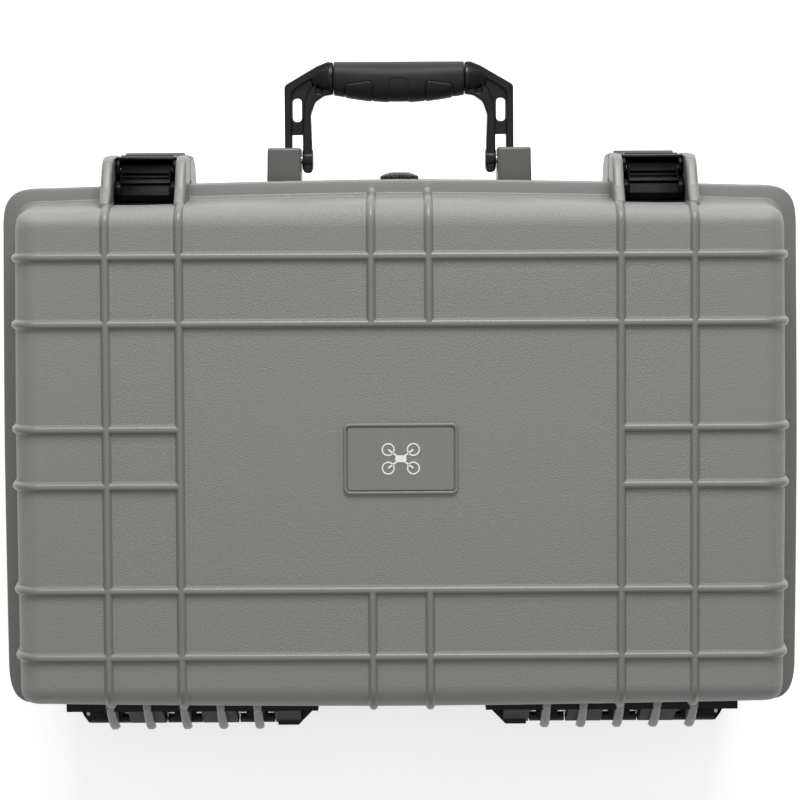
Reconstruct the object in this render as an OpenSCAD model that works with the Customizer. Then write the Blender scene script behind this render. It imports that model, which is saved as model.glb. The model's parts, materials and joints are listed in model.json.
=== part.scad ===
// Hard carrying case for a drone, lying on its base with the lid closed.
// X runs along the case, -Y is the front with the handle, +Z is up.
// The origin is on the middle of the pad under the base.

/* [Case] */
// Length over the brim
case_length = 525; // [500:5:560]
// Distance from the front brim to the middle of the walls
brim_front = 178; // [170:1:190]
// Height of the seam between base and lid
seam_height = 140; // [130:5:160]
// Height of the lid's flat face above the seam
lid_height = 60; // [56:2:70]
// Thickness of the moulded walls
wall = 4; // [3:0.5:5]
// Thickness of each brim
brim_thick = 10; // [8:1:12]
// Height of the moulded ribs
rib_height = 2.5; // [1.5:0.5:3]
// Width of the moulded ribs
rib_width = 5.3; // [4:0.1:6]

/* [Latches] */
// Distance of each latch from the middle
latch_x = 165.8; // [160:0.1:170]
// Clear width between the guard ribs
latch_gap = 41; // [39:0.5:43]
// Thickness of the guard ribs beside each latch
guard_thick = 7; // [5:0.5:8]

/* [Handle] */
// Clear width between the inner legs
hand_gap = 117; // [110:1:118]
// Length of the rubber grip
grip_length = 88.4; // [80:0.2:90]
// Diameter of the grip at its middle
grip_dia = 27.5; // [24:0.5:28]
// Height of the handle's pivot
handle_z = 118; // [112:1:118]

/* [Hinges] */
// Distance between neighbouring hinge fins
fin_pitch = 24.1; // [23:0.1:25]
// Distance of the middle fin from the middle of the case
fin_middle_x = 143; // [141:1:145]
// Diameter of the steel pins
pin_dia = 4; // [3:0.5:5]

/* [Foam] */
// Edge of one pluck cube in the foam
pluck = 15; // [12:1:16]
// Depth of the pockets in the foam tray
pocket_depth = 76; // [60:1:80]

/* [Hidden] */
$fn = 48;
cut = 1;
play = 0.05;

shell_colour = "#7f807b";
black = "#1d1d1d";
steel = "#b9bcc0";
foam_colour = "#2b2d30";

// The corner centres: every profile's radius is measured outward from them
brim_radius = 33;
brim_edge = 1.5;
corner_x = case_length / 2 - brim_radius;
corner_y = brim_front - brim_radius;
rear_edge = corner_y + 25;
reach = 300;
wall_radius = 21.7;
shoulder = 16;
face_radius = 2.7;
lid_top = seam_height + lid_height;
lid_shoulder_z = lid_top - shoulder;
floor_radius = 1.5;
floor_z = rib_height;
base_shoulder_z = floor_z + shoulder;
rest_pad = [120, 80, floor_z + 1];

// Seal: groove in the lid, tongue on the base
groove_in = 18.8;
groove_out = 22.4;
tongue_play = 0.7;
groove_depth = 5;
tongue_height = 1.6;

// Ribs, by distance from the middle
long_rib_x = [141, 188];
long_rib_y = [85.6, 128.7];
mid_rib_x = 18.4;
mid_rib_y = 18.3;

// Name plate in its raised frame, a little behind the middle
name_size = [68, 40.4, 1];
name_middle_y = 1;
frame_gap = 0.2;
frame_width = 2.4;
frame_height = 1.6;

// Latch pivots and plates
guard_tip_y = -193.7;
guard_root = -corner_y - 18;
link_pivot = [-170.5, seam_height + 18];
lever_pivot = [-184.5, seam_height + 11];
latch_hub = 7.4;
lever_hub = 5;
cheek = 3.2;
latch_width = latch_gap - 0.6;
link_neck = latch_width - 2 * cheek - 0.8;
lever_face = guard_tip_y;
lever_skin = 3;
recess_y = -162.4;
recess_height = 18.5;
hook_top = seam_height - brim_thick - 0.4;

// Handle
handle_y = -191.4;
lug_in = 65.6;
lug_out = 88.4;
lug_tip = -199.3;
lug_bottom = handle_z - 14;
leg_room = 7.2;
slot_in = 71.2;
slot_out = 77.4;
leg_half = 6;
handle_pin_radius = 3;
handle_pin_end = 86;
leg_in = 64.4;
leg_split = slot_in + 0.5;
leg_out = 76.4;
handle_top = -256.9;
grip_y = handle_top + grip_dia / 2;
core_radius = 7;

// Hinges
hinge_y = rear_edge + 7.5;
knuckle = 6.8;
fin_clear = 7.3;
fin_thick = 5.6;
fin_tip = hinge_y + 10;
leaf_y = rear_edge - 5.5;
leaf_play = 0.2;
pin_radius = pin_dia / 2;
knuckle_gap = 1;
gap_offset = 10.4;
pin_window = 10;
base_plate_z = [seam_height - 38, seam_height - 10.3];
lid_plate_z = [seam_height + 10.3, seam_height + 31];
leaf_end_in = 55;
leaf_end_out = 220;

// Purge valve
valve_z = 114;
valve_radius = 13.1;
valve_face = -brim_front - 4.9;
valve_back = -corner_y - 28.5;
valve_hole = 6;
stem_radius = 3;
thread_start = -corner_y - 7;

// Foam
tray_bottom = 34;
tray_top = seam_height - 4;
foam_radius = 12.4;
relief = 14;

function arc(x, y, r, from, to, steps = 8) =
    [for (i = [0:steps]) let (a = from + (to - from) * i / steps) [x + r * cos(a), y + r * sin(a)]];
function reversed(points) = [for (i = [len(points) - 1:-1:0]) points[i]];
function mirrored(points) = [for (p = points) [-p[0], p[1]]];
function moved(points, distance) = [for (p = points) [p[0] + distance, p[1]]];

// Outer skin of the lid, from the brim up to the flat face, pushed out by grow
function lid_skin(grow) = concat(
    [[wall_radius + grow, seam_height + brim_thick]],
    arc(face_radius, lid_shoulder_z, shoulder + grow, 0, 90)
);
// Outer skin of the base, from the brim down to the floor, pushed out by grow
function base_skin(grow) = concat(
    [[wall_radius + grow, seam_height - brim_thick]],
    arc(floor_radius, base_shoulder_z, shoulder + grow, 0, -90)
);
// A whole cross-section made of one skin and its mirror image
function section(skin, half) = concat(moved(skin, half), reversed(mirrored(moved(skin, half))));

// Sweeps a profile of [radius, height] points round the rounded rectangle
module around(points) {
    for (s = [0, 1]) {
        mirror([0, s, 0])
            translate([-corner_x, corner_y, 0])
                rotate([90, 0, 90])
                    linear_extrude(2 * corner_x) polygon(points);
        mirror([s, 0, 0])
            translate([corner_x, corner_y, 0])
                rotate([90, 0, 0])
                    linear_extrude(2 * corner_y) polygon(points);
    }
    for (s = [0, 1], t = [0, 1])
        mirror([s, 0, 0]) mirror([0, t, 0])
            translate([corner_x, corner_y, 0])
                rotate_extrude(angle = 90) polygon(points);
}

module plate(bottom, top) {
    translate([-corner_x, -corner_y, bottom])
        cube([2 * corner_x, 2 * corner_y, top - bottom]);
}

// A block with the plan of the corner centres and the given edge profile
module filled(points, bottom, top) {
    around(points);
    plate(bottom, top);
}

// A thin wall that follows a cross-section, standing across X or across Y
module rib_across_x(points, x, thick) {
    translate([x - thick / 2, 0, 0])
        rotate([90, 0, 90]) linear_extrude(thick) polygon(points);
}
module rib_across_y(points, y, thick) {
    translate([0, y + thick / 2, 0])
        rotate([90, 0, 0]) linear_extrude(thick) polygon(points);
}

// All the ribs of one shell: outer and inner are its skin outside and inside the ribs
module ribs(outer, inner, low, high) {
    along_y = concat(section(outer, corner_y), reversed(section(inner, corner_y)));
    along_x = concat(section(outer, corner_x), reversed(section(inner, corner_x)));
    for (s = [-1, 1]) {
        for (x = long_rib_x) rib_across_x(along_y, s * x, rib_width);
        for (y = long_rib_y) rib_across_y(along_x, s * y, rib_width);
        intersection() {
            rib_across_x(along_y, s * mid_rib_x, rib_width);
            for (t = [0, 1])
                mirror([0, t, 0])
                    translate([-reach, long_rib_y[0], low]) cube([2 * reach, reach, high - low]);
        }
        intersection() {
            rib_across_y(along_x, s * mid_rib_y, rib_width);
            for (t = [0, 1])
                mirror([t, 0, 0])
                    translate([long_rib_x[0], -reach, low]) cube([reach, 2 * reach, high - low]);
        }
    }
}

// A flat plate with the outline [y, z], standing across X
module standing(points, x, thick) {
    translate([x - thick / 2, 0, 0])
        rotate([90, 0, 90]) linear_extrude(thick) polygon(points);
}
module rod(x_from, x_to, y, z, r) {
    translate([x_from, y, z]) rotate([0, 90, 0]) cylinder(h = x_to - x_from, r = r);
}
module on_front(y) {
    translate([0, y, valve_z]) rotate([90, 0, 0]) children();
}
module both_sides() {
    children();
    mirror([1, 0, 0]) children();
}
// The room that a leaf's plate takes from the fins and ribs
module leaf_slot(span) {
    translate([leaf_end_in - leaf_play, leaf_y, span[0] - leaf_play])
        cube([
            leaf_end_out - leaf_end_in + 2 * leaf_play, rear_edge - leaf_y + leaf_play,
            span[1] - span[0] + 2 * leaf_play
        ]);
}
// What is cut from the rear of both brims, so that the knuckles fit
module rear_trim() {
    translate([-reach, rear_edge, seam_height - brim_thick - cut])
        cube([2 * reach, brim_radius, 2 * (brim_thick + cut)]);
}
// A ring round the case with a square section, from radius inner to outer
module seal_ring(inner, outer, low, high) {
    around([[inner, low], [outer, low], [outer, high], [inner, high]]);
}
function fin_x(i) = fin_middle_x + (i - 2) * fin_pitch;
function gap_x(i) = fin_x(i) - gap_offset;

// ---- Base ----

module base_wall() {
    bottom = seam_height - brim_thick;
    difference() {
        around(concat(
            [[brim_radius - brim_edge, seam_height], [brim_radius, seam_height - brim_edge]],
            [[brim_radius, bottom + brim_edge], [brim_radius - brim_edge, bottom]],
            base_skin(0),
            reversed(base_skin(-wall)),
            [[wall_radius - wall, seam_height]]
        ));
        rear_trim();
    }
    plate(floor_z, floor_z + wall);
    seal_ring(
        groove_in + tongue_play, groove_out - tongue_play, seam_height - cut, seam_height + tongue_height
    );
}

// The base latch guards carry on below the lid's and end above the floor
module base_guard(x) {
    z = seam_height;
    standing([
        [guard_root, z - 1], [guard_tip_y, z - 0.3], [guard_tip_y, z - 28], [guard_tip_y + 5, z - 39],
        [guard_root - 6, z - 52], [guard_root + 2, z - 56]
    ], x, guard_thick);
}

// Hinge fins on the base start under the sweep of the lid's fins
module base_fin(x) {
    top = seam_height - 13.2;
    standing([
        [corner_y + 18, top - 2], [rear_edge, top], [fin_tip - 3, top], [fin_tip, top - 3],
        [fin_tip, top - 42.8], [fin_tip - 5, top - 54.8], [corner_y + 16, top - 64.8]
    ], x, fin_thick);
}

// A lug under the brim, slotted for the handle's leg and bored for its pin
module handle_lug() {
    difference() {
        translate([lug_in, lug_tip, lug_bottom])
            cube([lug_out - lug_in, guard_root - lug_tip, seam_height - brim_thick - lug_bottom + cut]);
        translate([slot_in, lug_tip - cut, lug_bottom - cut])
            cube([
                slot_out - slot_in, handle_y + leg_room - lug_tip + cut,
                handle_z + leg_room - lug_bottom + cut
            ]);
        rod(lug_in - cut, handle_pin_end, handle_y, handle_z, handle_pin_radius);
    }
}

// The flat strip behind the base's hinge leaf
module base_land() {
    translate([leaf_end_in, corner_y + 16, base_plate_z[0] - 2])
        cube([leaf_end_out - leaf_end_in - 6, leaf_y - corner_y - 16, base_plate_z[1] - base_plate_z[0] + 2]);
}

module base_shell() {
    color(shell_colour)
        difference() {
            union() {
                base_wall();
                ribs(base_skin(rib_height), base_skin(-1), 0, seam_height);
                translate([-rest_pad[0] / 2, -rest_pad[1] / 2, 0]) cube(rest_pad);
                both_sides() {
                    for (s = [-1, 1]) base_guard(latch_x + s * (latch_gap + guard_thick) / 2);
                    for (i = [0:4]) base_fin(fin_x(i));
                    handle_lug();
                    base_land();
                }
                on_front(-corner_y - 16) cylinder(h = 8, r = 12);
            }
            both_sides() leaf_slot(base_plate_z);
            on_front(-corner_y) cylinder(h = 60, r = valve_hole);
        }
}

// ---- Lid ----

module lid_wall() {
    top = seam_height + brim_thick;
    difference() {
        around(concat(
            [[brim_radius - brim_edge, seam_height], [brim_radius, seam_height + brim_edge]],
            [[brim_radius, top - brim_edge], [brim_radius - brim_edge, top]],
            lid_skin(0),
            reversed(lid_skin(-wall)),
            [[wall_radius - wall, seam_height]]
        ));
        rear_trim();
    }
    plate(lid_top - wall, lid_top);
}

module lid_guard(x) {
    z = seam_height;
    standing([
        [guard_root, z + 1], [-brim_front + 2, z + 0.3], [guard_tip_y, z + 0.3], [guard_tip_y, z + 20],
        [guard_tip_y + 2.7, z + 26], [guard_tip_y + 7.7, z + 30], [guard_tip_y + 17.7, z + 35],
        [guard_root + 4, z + 47], [guard_root + 4, z + 30]
    ], x, guard_thick);
}

// Hinge fins on the lid curl over the knuckles, clear of the base's knuckles as they turn
module lid_fin(x) {
    z = seam_height;
    difference() {
        standing([
            [corner_y + 18, z + 6], [rear_edge - 2, z + 0.3], [fin_tip, z + 0.3], [fin_tip, z + 6],
            [fin_tip - 3, z + 12], [fin_tip - 8, z + 20], [fin_tip - 20, z + 34], [corner_y + 16, z + 40]
        ], x, fin_thick);
        rod(x - fin_thick, x + fin_thick, hinge_y, z, fin_clear);
    }
}

// A block as large as the name plate with a margin all round
module name_block(margin, bottom, top) {
    translate([-name_size[0] / 2 - margin, name_middle_y - name_size[1] / 2 - margin, bottom])
        cube([name_size[0] + 2 * margin, name_size[1] + 2 * margin, top - bottom]);
}
module name_frame() {
    difference() {
        name_block(frame_gap + frame_width, lid_top - 1, lid_top + frame_height);
        name_block(frame_gap, lid_top, lid_top + frame_height + cut);
    }
}

// The flat strip behind the lid's hinge leaf
module lid_land() {
    translate([leaf_end_in + 6, corner_y + 15, seam_height + brim_thick])
        cube([
            leaf_end_out - leaf_end_in - 6, leaf_y - corner_y - 15,
            lid_plate_z[1] - seam_height - brim_thick
        ]);
}

// The thicker wall behind each latch, and the recess in it that the link turns in
module latch_pad() {
    translate([latch_x - 25, -corner_y - 19, seam_height + 6])
        cube([50, 6.4, 27]);
}
module latch_recess() {
    translate([latch_x - latch_gap / 2, guard_tip_y, seam_height + brim_thick])
        cube([latch_gap, recess_y - guard_tip_y, recess_height]);
}

module lid_shell() {
    color(shell_colour)
        difference() {
            union() {
                lid_wall();
                ribs(lid_skin(rib_height), lid_skin(-1), seam_height, lid_top + 5);
                name_frame();
                both_sides() {
                    for (s = [-1, 1]) lid_guard(latch_x + s * (latch_gap + guard_thick) / 2);
                    for (i = [0:4]) lid_fin(fin_x(i));
                    lid_land();
                    latch_pad();
                }
            }
            both_sides() {
                latch_recess();
                leaf_slot(lid_plate_z);
                rod(latch_x - latch_gap, latch_x + latch_gap, link_pivot[0], link_pivot[1], pin_radius);
            }
            seal_ring(groove_in, groove_out, seam_height - cut, seam_height + groove_depth);
        }
}

module lid_gasket() {
    color(black)
        seal_ring(groove_in, groove_out, seam_height + tongue_height + 0.1, seam_height + groove_depth);
}

module name_plate() {
    color(shell_colour)
        name_block(0, lid_top, lid_top + name_size[2]);
}

// ---- Hinges ----

// A leaf's plate, and its knuckles and arms: start is 0 for the base's leaf and 1 for the lid's
module leaf(start, plate_z, arm, bore) {
    edges = [leaf_end_out, gap_x(4), gap_x(3), gap_x(2), gap_x(1), gap_x(0), leaf_end_in];
    knuckle_end = 12;
    difference() {
        union() {
            translate([leaf_end_in, leaf_y, plate_z[0]])
                cube([leaf_end_out - leaf_end_in, rear_edge - leaf_y, plate_z[1] - plate_z[0]]);
            for (k = [start:2:5]) {
                high = edges[k] - (k == 0 ? knuckle_end : knuckle_gap / 2);
                low = edges[k + 1] + (k == 5 ? knuckle_end : knuckle_gap / 2);
                rod(low, high, hinge_y, seam_height, knuckle);
                difference() {
                    standing(arm, (low + high) / 2, high - low);
                    for (i = [0:4])
                        translate([fin_x(i) - fin_thick / 2 - 0.3, rear_edge, 60])
                            cube([fin_thick + 0.6, 40, 140]);
                    rod(low - cut, high + cut, hinge_y, seam_height, knuckle - 1);
                }
            }
            children();
        }
        rod(leaf_end_in - cut, leaf_end_out + cut, hinge_y, seam_height, bore);
        for (i = [0:4])
            translate([gap_x(i) - pin_window / 2, hinge_y - pin_radius + 0.3, seam_height + 1])
                cube([pin_window, 2 * pin_radius - 0.6, knuckle]);
    }
}
// The end of a leaf, slanted from its root at x to its nose at x + lean
module leaf_end(inside, x, lean, low, high) {
    translate([0, 0, low])
        linear_extrude(high - low)
            polygon([
                [inside, rear_edge + 0.2], [x, rear_edge + 0.2],
                [x + lean, hinge_y + knuckle], [inside, hinge_y + knuckle]
            ]);
}
module hinge_leaf_base(side) {
    z = seam_height;
    out = rear_edge;
    color(black)
        mirror([side, 0, 0])
            leaf(0, base_plate_z, [
                [out + 0.2, z], [out + 0.2, z - 10.3], [out - 1, z - 10.3], [out - 1, z - 30],
                [out + 0.5, z - 30], [out + 1.6, z - 18], [out + 4.2, z - 6], [hinge_y - 2, z - 3]
            ], pin_radius)
                leaf_end(fin_x(4) + 4, leaf_end_out, -10.4, z - 9, z - 0.2);
}
module hinge_leaf_lid(side) {
    z = seam_height;
    out = rear_edge;
    color(black)
        mirror([side, 0, 0])
            leaf(1, lid_plate_z, [
                [out + 0.2, z + 0.4], [out + 0.2, z + 10.3], [out - 1, z + 10.3], [out - 1, z + 29],
                [out, z + 29], [hinge_y + 1, z + 15], [hinge_y + 5.5, z + 7], [hinge_y + 3, z + 3]
            ], pin_radius + play)
                leaf_end(gap_x(0) - 2, leaf_end_in, 13.8, z + 0.2, z + 9);
}
module hinge_pin(side) {
    color(steel)
        mirror([side, 0, 0])
            rod(leaf_end_in + 10, leaf_end_out - 9, hinge_y, seam_height, pin_radius);
}

// ---- Latches ----

module latch_link(side) {
    p = link_pivot;
    q = lever_pivot;
    color(black)
        mirror([side, 0, 0])
            difference() {
                union() {
                    rod(latch_x - latch_width / 2, latch_x + latch_width / 2, p[0], p[1], latch_hub);
                    rod(latch_x - link_neck / 2, latch_x + link_neck / 2, q[0], q[1], lever_hub);
                    standing([
                        [p[0], p[1] + latch_hub], [p[0] - 5.5, p[1] + 6.4], [q[0] + 3.5, q[1] + 9.5],
                        [q[0], q[1] + lever_hub], [q[0] - 2, q[1]], [q[0], q[1] - lever_hub],
                        [q[0] + 3.4, q[1] - 3.7], [q[0] + 5.8, seam_height + brim_thick + 0.7],
                        [p[0], p[1] - latch_hub]
                    ], latch_x, link_neck);
                }
                for (c = [p, q])
                    rod(latch_x - latch_gap, latch_x + latch_gap, c[0], c[1], pin_radius + play);
            }
}

module latch_lever(side) {
    q = lever_pivot;
    inner = lever_face + lever_skin;
    color(black)
        mirror([side, 0, 0])
            difference() {
                union() {
                    // Front plate, with its flared foot and its hook
                    standing([
                        [inner, q[1] + 3], [inner - 1, q[1] + 4], [lever_face + 0.5, q[1] + 2.5],
                        [lever_face, q[1]], [lever_face, 110], [lever_face - 3.6, 98],
                        [lever_face - 3, 95.5], [lever_face - 0.6, 96.5], [inner, 109],
                        [inner, hook_top - 8.6], [-178, hook_top - 7], [-172.6, hook_top - 4],
                        [-172.6, hook_top], [q[0] + 0.5, hook_top], [inner, hook_top + 5]
                    ], latch_x, latch_width);
                    for (s = [-1, 1]) {
                        x = latch_x + s * (latch_width - cheek) / 2;
                        rod(x - cheek / 2, x + cheek / 2, q[0], q[1], lever_hub + 0.5);
                        standing([
                            [inner - 0.5, q[1] + 3], [q[0] - 2, q[1] + 5], [q[0] + 4.6, q[1] + 1],
                            [q[0] + 5, q[1] - 3], [q[0] + 3, hook_top + 4], [q[0] + 1, hook_top - 1],
                            [inner - 0.5, hook_top - 1]
                        ], x, cheek);
                    }
                }
                rod(latch_x - latch_gap, latch_x + latch_gap, q[0], q[1], pin_radius);
            }
}
module latch_pivot_pin(side) {
    half = latch_gap / 2 + guard_thick - 0.5;
    color(steel)
        mirror([side, 0, 0])
            rod(latch_x - half, latch_x + half, link_pivot[0], link_pivot[1], pin_radius);
}
module latch_lever_pin(side) {
    half = latch_width / 2;
    color(steel)
        mirror([side, 0, 0])
            rod(latch_x - half, latch_x + half, lever_pivot[0], lever_pivot[1], pin_radius);
}

// ---- Handle ----

// One arm seen from above: slotted leg, bridge, and shoulder up to the grip
module arm_outline() {
    inner = hand_gap / 2;
    end_x = grip_length / 2;
    window = [68.5, -223.8];
    window_radius = 3.5;
    window_half = 5.4;
    difference() {
        union() {
            polygon([
                [end_x, handle_top + 1], [end_x + 8, handle_top], [leg_out - 0.2, handle_top + 15],
                [leg_out, handle_y], [leg_split, handle_y], [leg_split, handle_y - 5.4],
                [leg_in, handle_y - 16.6], [leg_in, handle_y], [inner - 0.4, handle_y],
                [inner, handle_y - 26.6], [inner - 4, handle_y - 35.6], [inner - 9, handle_y - 40.6],
                [end_x, handle_y - 43.1]
            ]);
            translate([(inner + leg_in) / 2, handle_y]) circle(r = (leg_in - inner) / 2 + 0.3);
        }
        for (s = [-1, 1])
            translate([window[0], window[1] + s * window_half]) circle(r = window_radius);
        translate([window[0] - window_radius, window[1] - window_half])
            square([2 * window_radius, 2 * window_half]);
        translate([leg_in, handle_y - 17.6]) square([leg_split - leg_in, 20]);
    }
}

module handle_frame() {
    color(black)
        difference() {
            union() {
                both_sides() {
                    translate([0, 0, handle_z - leg_half])
                        linear_extrude(2 * leg_half) arm_outline();
                    rod(hand_gap / 2, leg_in, handle_y, handle_z, leg_half + 1);
                    rod(leg_split, leg_out, handle_y, handle_z, leg_half);
                }
                rod(-grip_length / 2 - cut, grip_length / 2 + cut, grip_y, handle_z, core_radius);
            }
            both_sides() rod(hand_gap / 2 - 5, lug_out, handle_y, handle_z, handle_pin_radius + play);
        }
}

// Barrel-shaped rubber sleeve
module handle_grip() {
    end_radius = 11.3;
    half = grip_length / 2 - 0.3;
    bulge = grip_dia / 2 - end_radius;
    steps = 8;
    outline = [
        for (i = [-steps:steps]) [end_radius + bulge * (1 - pow(i / steps, 2)), half * i / steps]
    ];
    color(black)
        translate([0, grip_y, handle_z])
            rotate([0, 90, 0])
                rotate_extrude()
                    polygon(concat([[core_radius, -half]], outline, [[core_radius, half]]));
}

module handle_pin(side) {
    color(steel)
        mirror([side, 0, 0])
            rod(hand_gap / 2 - 0.8, handle_pin_end, handle_y, handle_z, handle_pin_radius);
}

// ---- Purge valve ----

module valve_body() {
    color(black)
        difference() {
            union() {
                on_front(-corner_y - 24.8) cylinder(h = 3.4, r = 12.4);
                on_front(thread_start) cylinder(h = 18, r = valve_hole - 0.1);
            }
            on_front(-corner_y) cylinder(h = 40, r = stem_radius);
        }
}
module valve_seal() {
    color("#3a3a3a")
        on_front(-corner_y - 24.05)
            difference() {
                cylinder(h = 0.7, r = 11);
                translate([0, 0, -cut]) cylinder(h = 4, r = valve_hole);
            }
}
module valve_nut() {
    color(black)
        on_front(-corner_y - 11)
            difference() {
                cylinder(h = 5, r = 10, $fn = 6);
                translate([0, 0, -cut]) cylinder(h = 8, r = valve_hole - 0.1);
            }
}
// Knurled cap on a stem that turns in the valve body
module valve_knob() {
    color(black)
        difference() {
            union() {
                on_front(valve_back) cylinder(h = valve_back - valve_face - 2, r = valve_radius);
                on_front(valve_back) cylinder(h = valve_back - valve_face, r = valve_radius - 3);
                on_front(thread_start - 1)
                    cylinder(h = thread_start - 1 - valve_back + cut, r = stem_radius - play);
            }
            for (a = [0:15:345])
                on_front(valve_back + cut)
                    rotate(a) translate([valve_radius + 0.7, 0, 0]) cylinder(h = 20, r = 1.4);
        }
}

// ---- Foam ----

// One pocket of whole pluck cubes, from column and row x, y
module pocket(x, y, columns, rows, depth) {
    translate([x * pluck, y * pluck, tray_top - depth])
        cube([columns * pluck, rows * pluck, depth + cut]);
}
module base_foam_tray() {
    color(foam_colour)
        difference() {
            filled([
                [0, tray_bottom], [foam_radius, tray_bottom], [foam_radius, tray_top], [0, tray_top]
            ], tray_bottom, tray_top);
            // Folded drone with its wider arm roots, then controller, batteries and small parts
            pocket(-14, -3, 15, 9, pocket_depth);
            pocket(-12, -4, 11, 11, pocket_depth - 16);
            pocket(-14, -9, 15, 4, pocket_depth - 16);
            for (i = [0:2]) pocket(3 + 4 * i, 2, 3, 6, pocket_depth);
            pocket(3, -9, 11, 9, pocket_depth - 16);
            // Room for the nut and the end of the purge valve
            translate([-relief, -corner_y - foam_radius - cut, valve_z - relief])
                cube([2 * relief, thread_start + corner_y + foam_radius + 2 * cut, tray_top]);
        }
}
module base_foam_pad() {
    low = floor_z + wall + 0.1;
    high = tray_bottom - 0.1;
    color(foam_colour)
        filled([
            [0, low], [floor_radius, low], [foam_radius, base_shoulder_z], [foam_radius, high], [0, high]
        ], low, high);
}
module lid_foam() {
    low = seam_height + 6;
    high = lid_top - wall - 0.1;
    radius = foam_radius - 2;
    color(foam_colour)
        filled([
            [0, low], [radius, low], [radius, lid_shoulder_z - 2], [face_radius, high], [0, high]
        ], low, high);
}

base_shell();
lid_shell();
lid_gasket();
name_plate();
hinge_leaf_base(1);  // hinge_leaf_base_left
hinge_leaf_base(0);  // hinge_leaf_base_right
hinge_leaf_lid(1);  // hinge_leaf_lid_left
hinge_leaf_lid(0);  // hinge_leaf_lid_right
hinge_pin(1);  // hinge_pin_left
hinge_pin(0);  // hinge_pin_right
latch_link(1);  // latch_link_left
latch_link(0);  // latch_link_right
latch_lever(1);  // latch_lever_left
latch_lever(0);  // latch_lever_right
latch_pivot_pin(1);  // latch_pivot_pin_left
latch_pivot_pin(0);  // latch_pivot_pin_right
latch_lever_pin(1);  // latch_lever_pin_left
latch_lever_pin(0);  // latch_lever_pin_right
handle_frame();
handle_grip();
handle_pin(1);  // handle_pin_left
handle_pin(0);  // handle_pin_right
valve_body();
valve_knob();
valve_seal();
valve_nut();
lid_foam();
base_foam_tray();
base_foam_pad();
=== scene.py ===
"""Looks of a hard carrying case for a drone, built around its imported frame.

Shapes are worked out in millimetres in the frame's own axes (+X along the case, -Y to the front,
+Z up) and become metres when a piece is made.
"""

import json
import math

import bmesh
import bpy
import numpy as np
from mathutils import Matrix, Vector


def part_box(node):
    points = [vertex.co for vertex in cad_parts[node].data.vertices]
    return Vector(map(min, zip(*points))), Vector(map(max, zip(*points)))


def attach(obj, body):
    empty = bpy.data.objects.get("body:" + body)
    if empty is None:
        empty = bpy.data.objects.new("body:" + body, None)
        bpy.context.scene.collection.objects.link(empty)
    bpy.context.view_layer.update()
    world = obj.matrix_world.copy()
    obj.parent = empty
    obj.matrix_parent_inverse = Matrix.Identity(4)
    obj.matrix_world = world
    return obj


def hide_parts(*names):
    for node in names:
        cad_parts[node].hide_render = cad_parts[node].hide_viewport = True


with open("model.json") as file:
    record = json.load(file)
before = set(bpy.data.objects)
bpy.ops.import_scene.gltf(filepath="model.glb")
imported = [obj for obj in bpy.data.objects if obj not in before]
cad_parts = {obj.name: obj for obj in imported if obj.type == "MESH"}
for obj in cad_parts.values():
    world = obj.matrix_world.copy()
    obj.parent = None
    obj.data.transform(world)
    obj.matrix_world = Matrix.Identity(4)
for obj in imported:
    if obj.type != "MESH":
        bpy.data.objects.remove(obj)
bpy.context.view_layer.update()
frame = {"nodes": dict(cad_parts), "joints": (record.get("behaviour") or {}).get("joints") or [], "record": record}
MM = 0.001
SIDES = (-1, 1)

# ---- Sizes read from the frame, in millimetres ----

JOINTS = {joint["name"]: joint for joint in frame["joints"]}


def joint_place(name):
    return [value / MM for value in JOINTS[name]["pos_m"]]


def box_mm(node):
    low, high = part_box(node)
    return low / MM, high / MM


GASKET_HIGH = box_mm("lid_gasket")[1]
LID_HIGH = box_mm("lid_shell")[1]
PLATE_LOW, PLATE_HIGH = box_mm("name_plate")
_, HINGE_Y, SEAM = joint_place("lid_hinge")
_, HANDLE_Y, HANDLE_Z = joint_place("handle_hinge")
LATCH_X, LINK_Y, LINK_Z = joint_place("link_hinge_right")
_, LEVER_Y, LEVER_Z = joint_place("lever_hinge_right")
VALVE_Z = joint_place("valve_turn")[2]

# ---- The moulding: radii are measured outward from the corner centres ----

RIB_HEIGHT = 2.5
WALL = 4.0
BRIM_RADIUS = 33.0
BRIM_THICK = 10.0
BRIM_DROP = 1.9
WALL_RADIUS = 21.7
GROOVE = (18.8, 22.4)
GROOVE_DEPTH = 5.0
TONGUE_PLAY = 0.7
TONGUE_HEIGHT = 1.6
SHOULDER = 16.0
REAR_REACH = 25.0
CORNER_X = LID_HIGH.x - BRIM_RADIUS
CORNER_Y = GASKET_HIGH.y - GROOVE[1]
LID_TOP = LID_HIGH.z - RIB_HEIGHT
REAR_EDGE = CORNER_Y + REAR_REACH
FACE_RADIUS = 2.7
FLOOR_RADIUS = 1.5
LONG_RIB_X = (141.0, 188.0)
LONG_RIB_Y = (85.6, 128.7)
MID_RIB_X = 18.4
MID_RIB_Y = 18.3
CORNER_POWER = 3.8
# How far the front and the rear wall fall back at their ends
END_CROWN = {-1: 4.7, 1: 2.4}
SIDE_CROWN = 1.0
SEAM_GAP = 0.35
BRIM_FILLET = 1.9
BRIM_EDGE = 1.6
LIP_EDGE = 0.7
CORNER_STEPS = 19
SMOOTH_RISE = 0.1 * RIB_HEIGHT

# ---- Fittings ----

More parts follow.
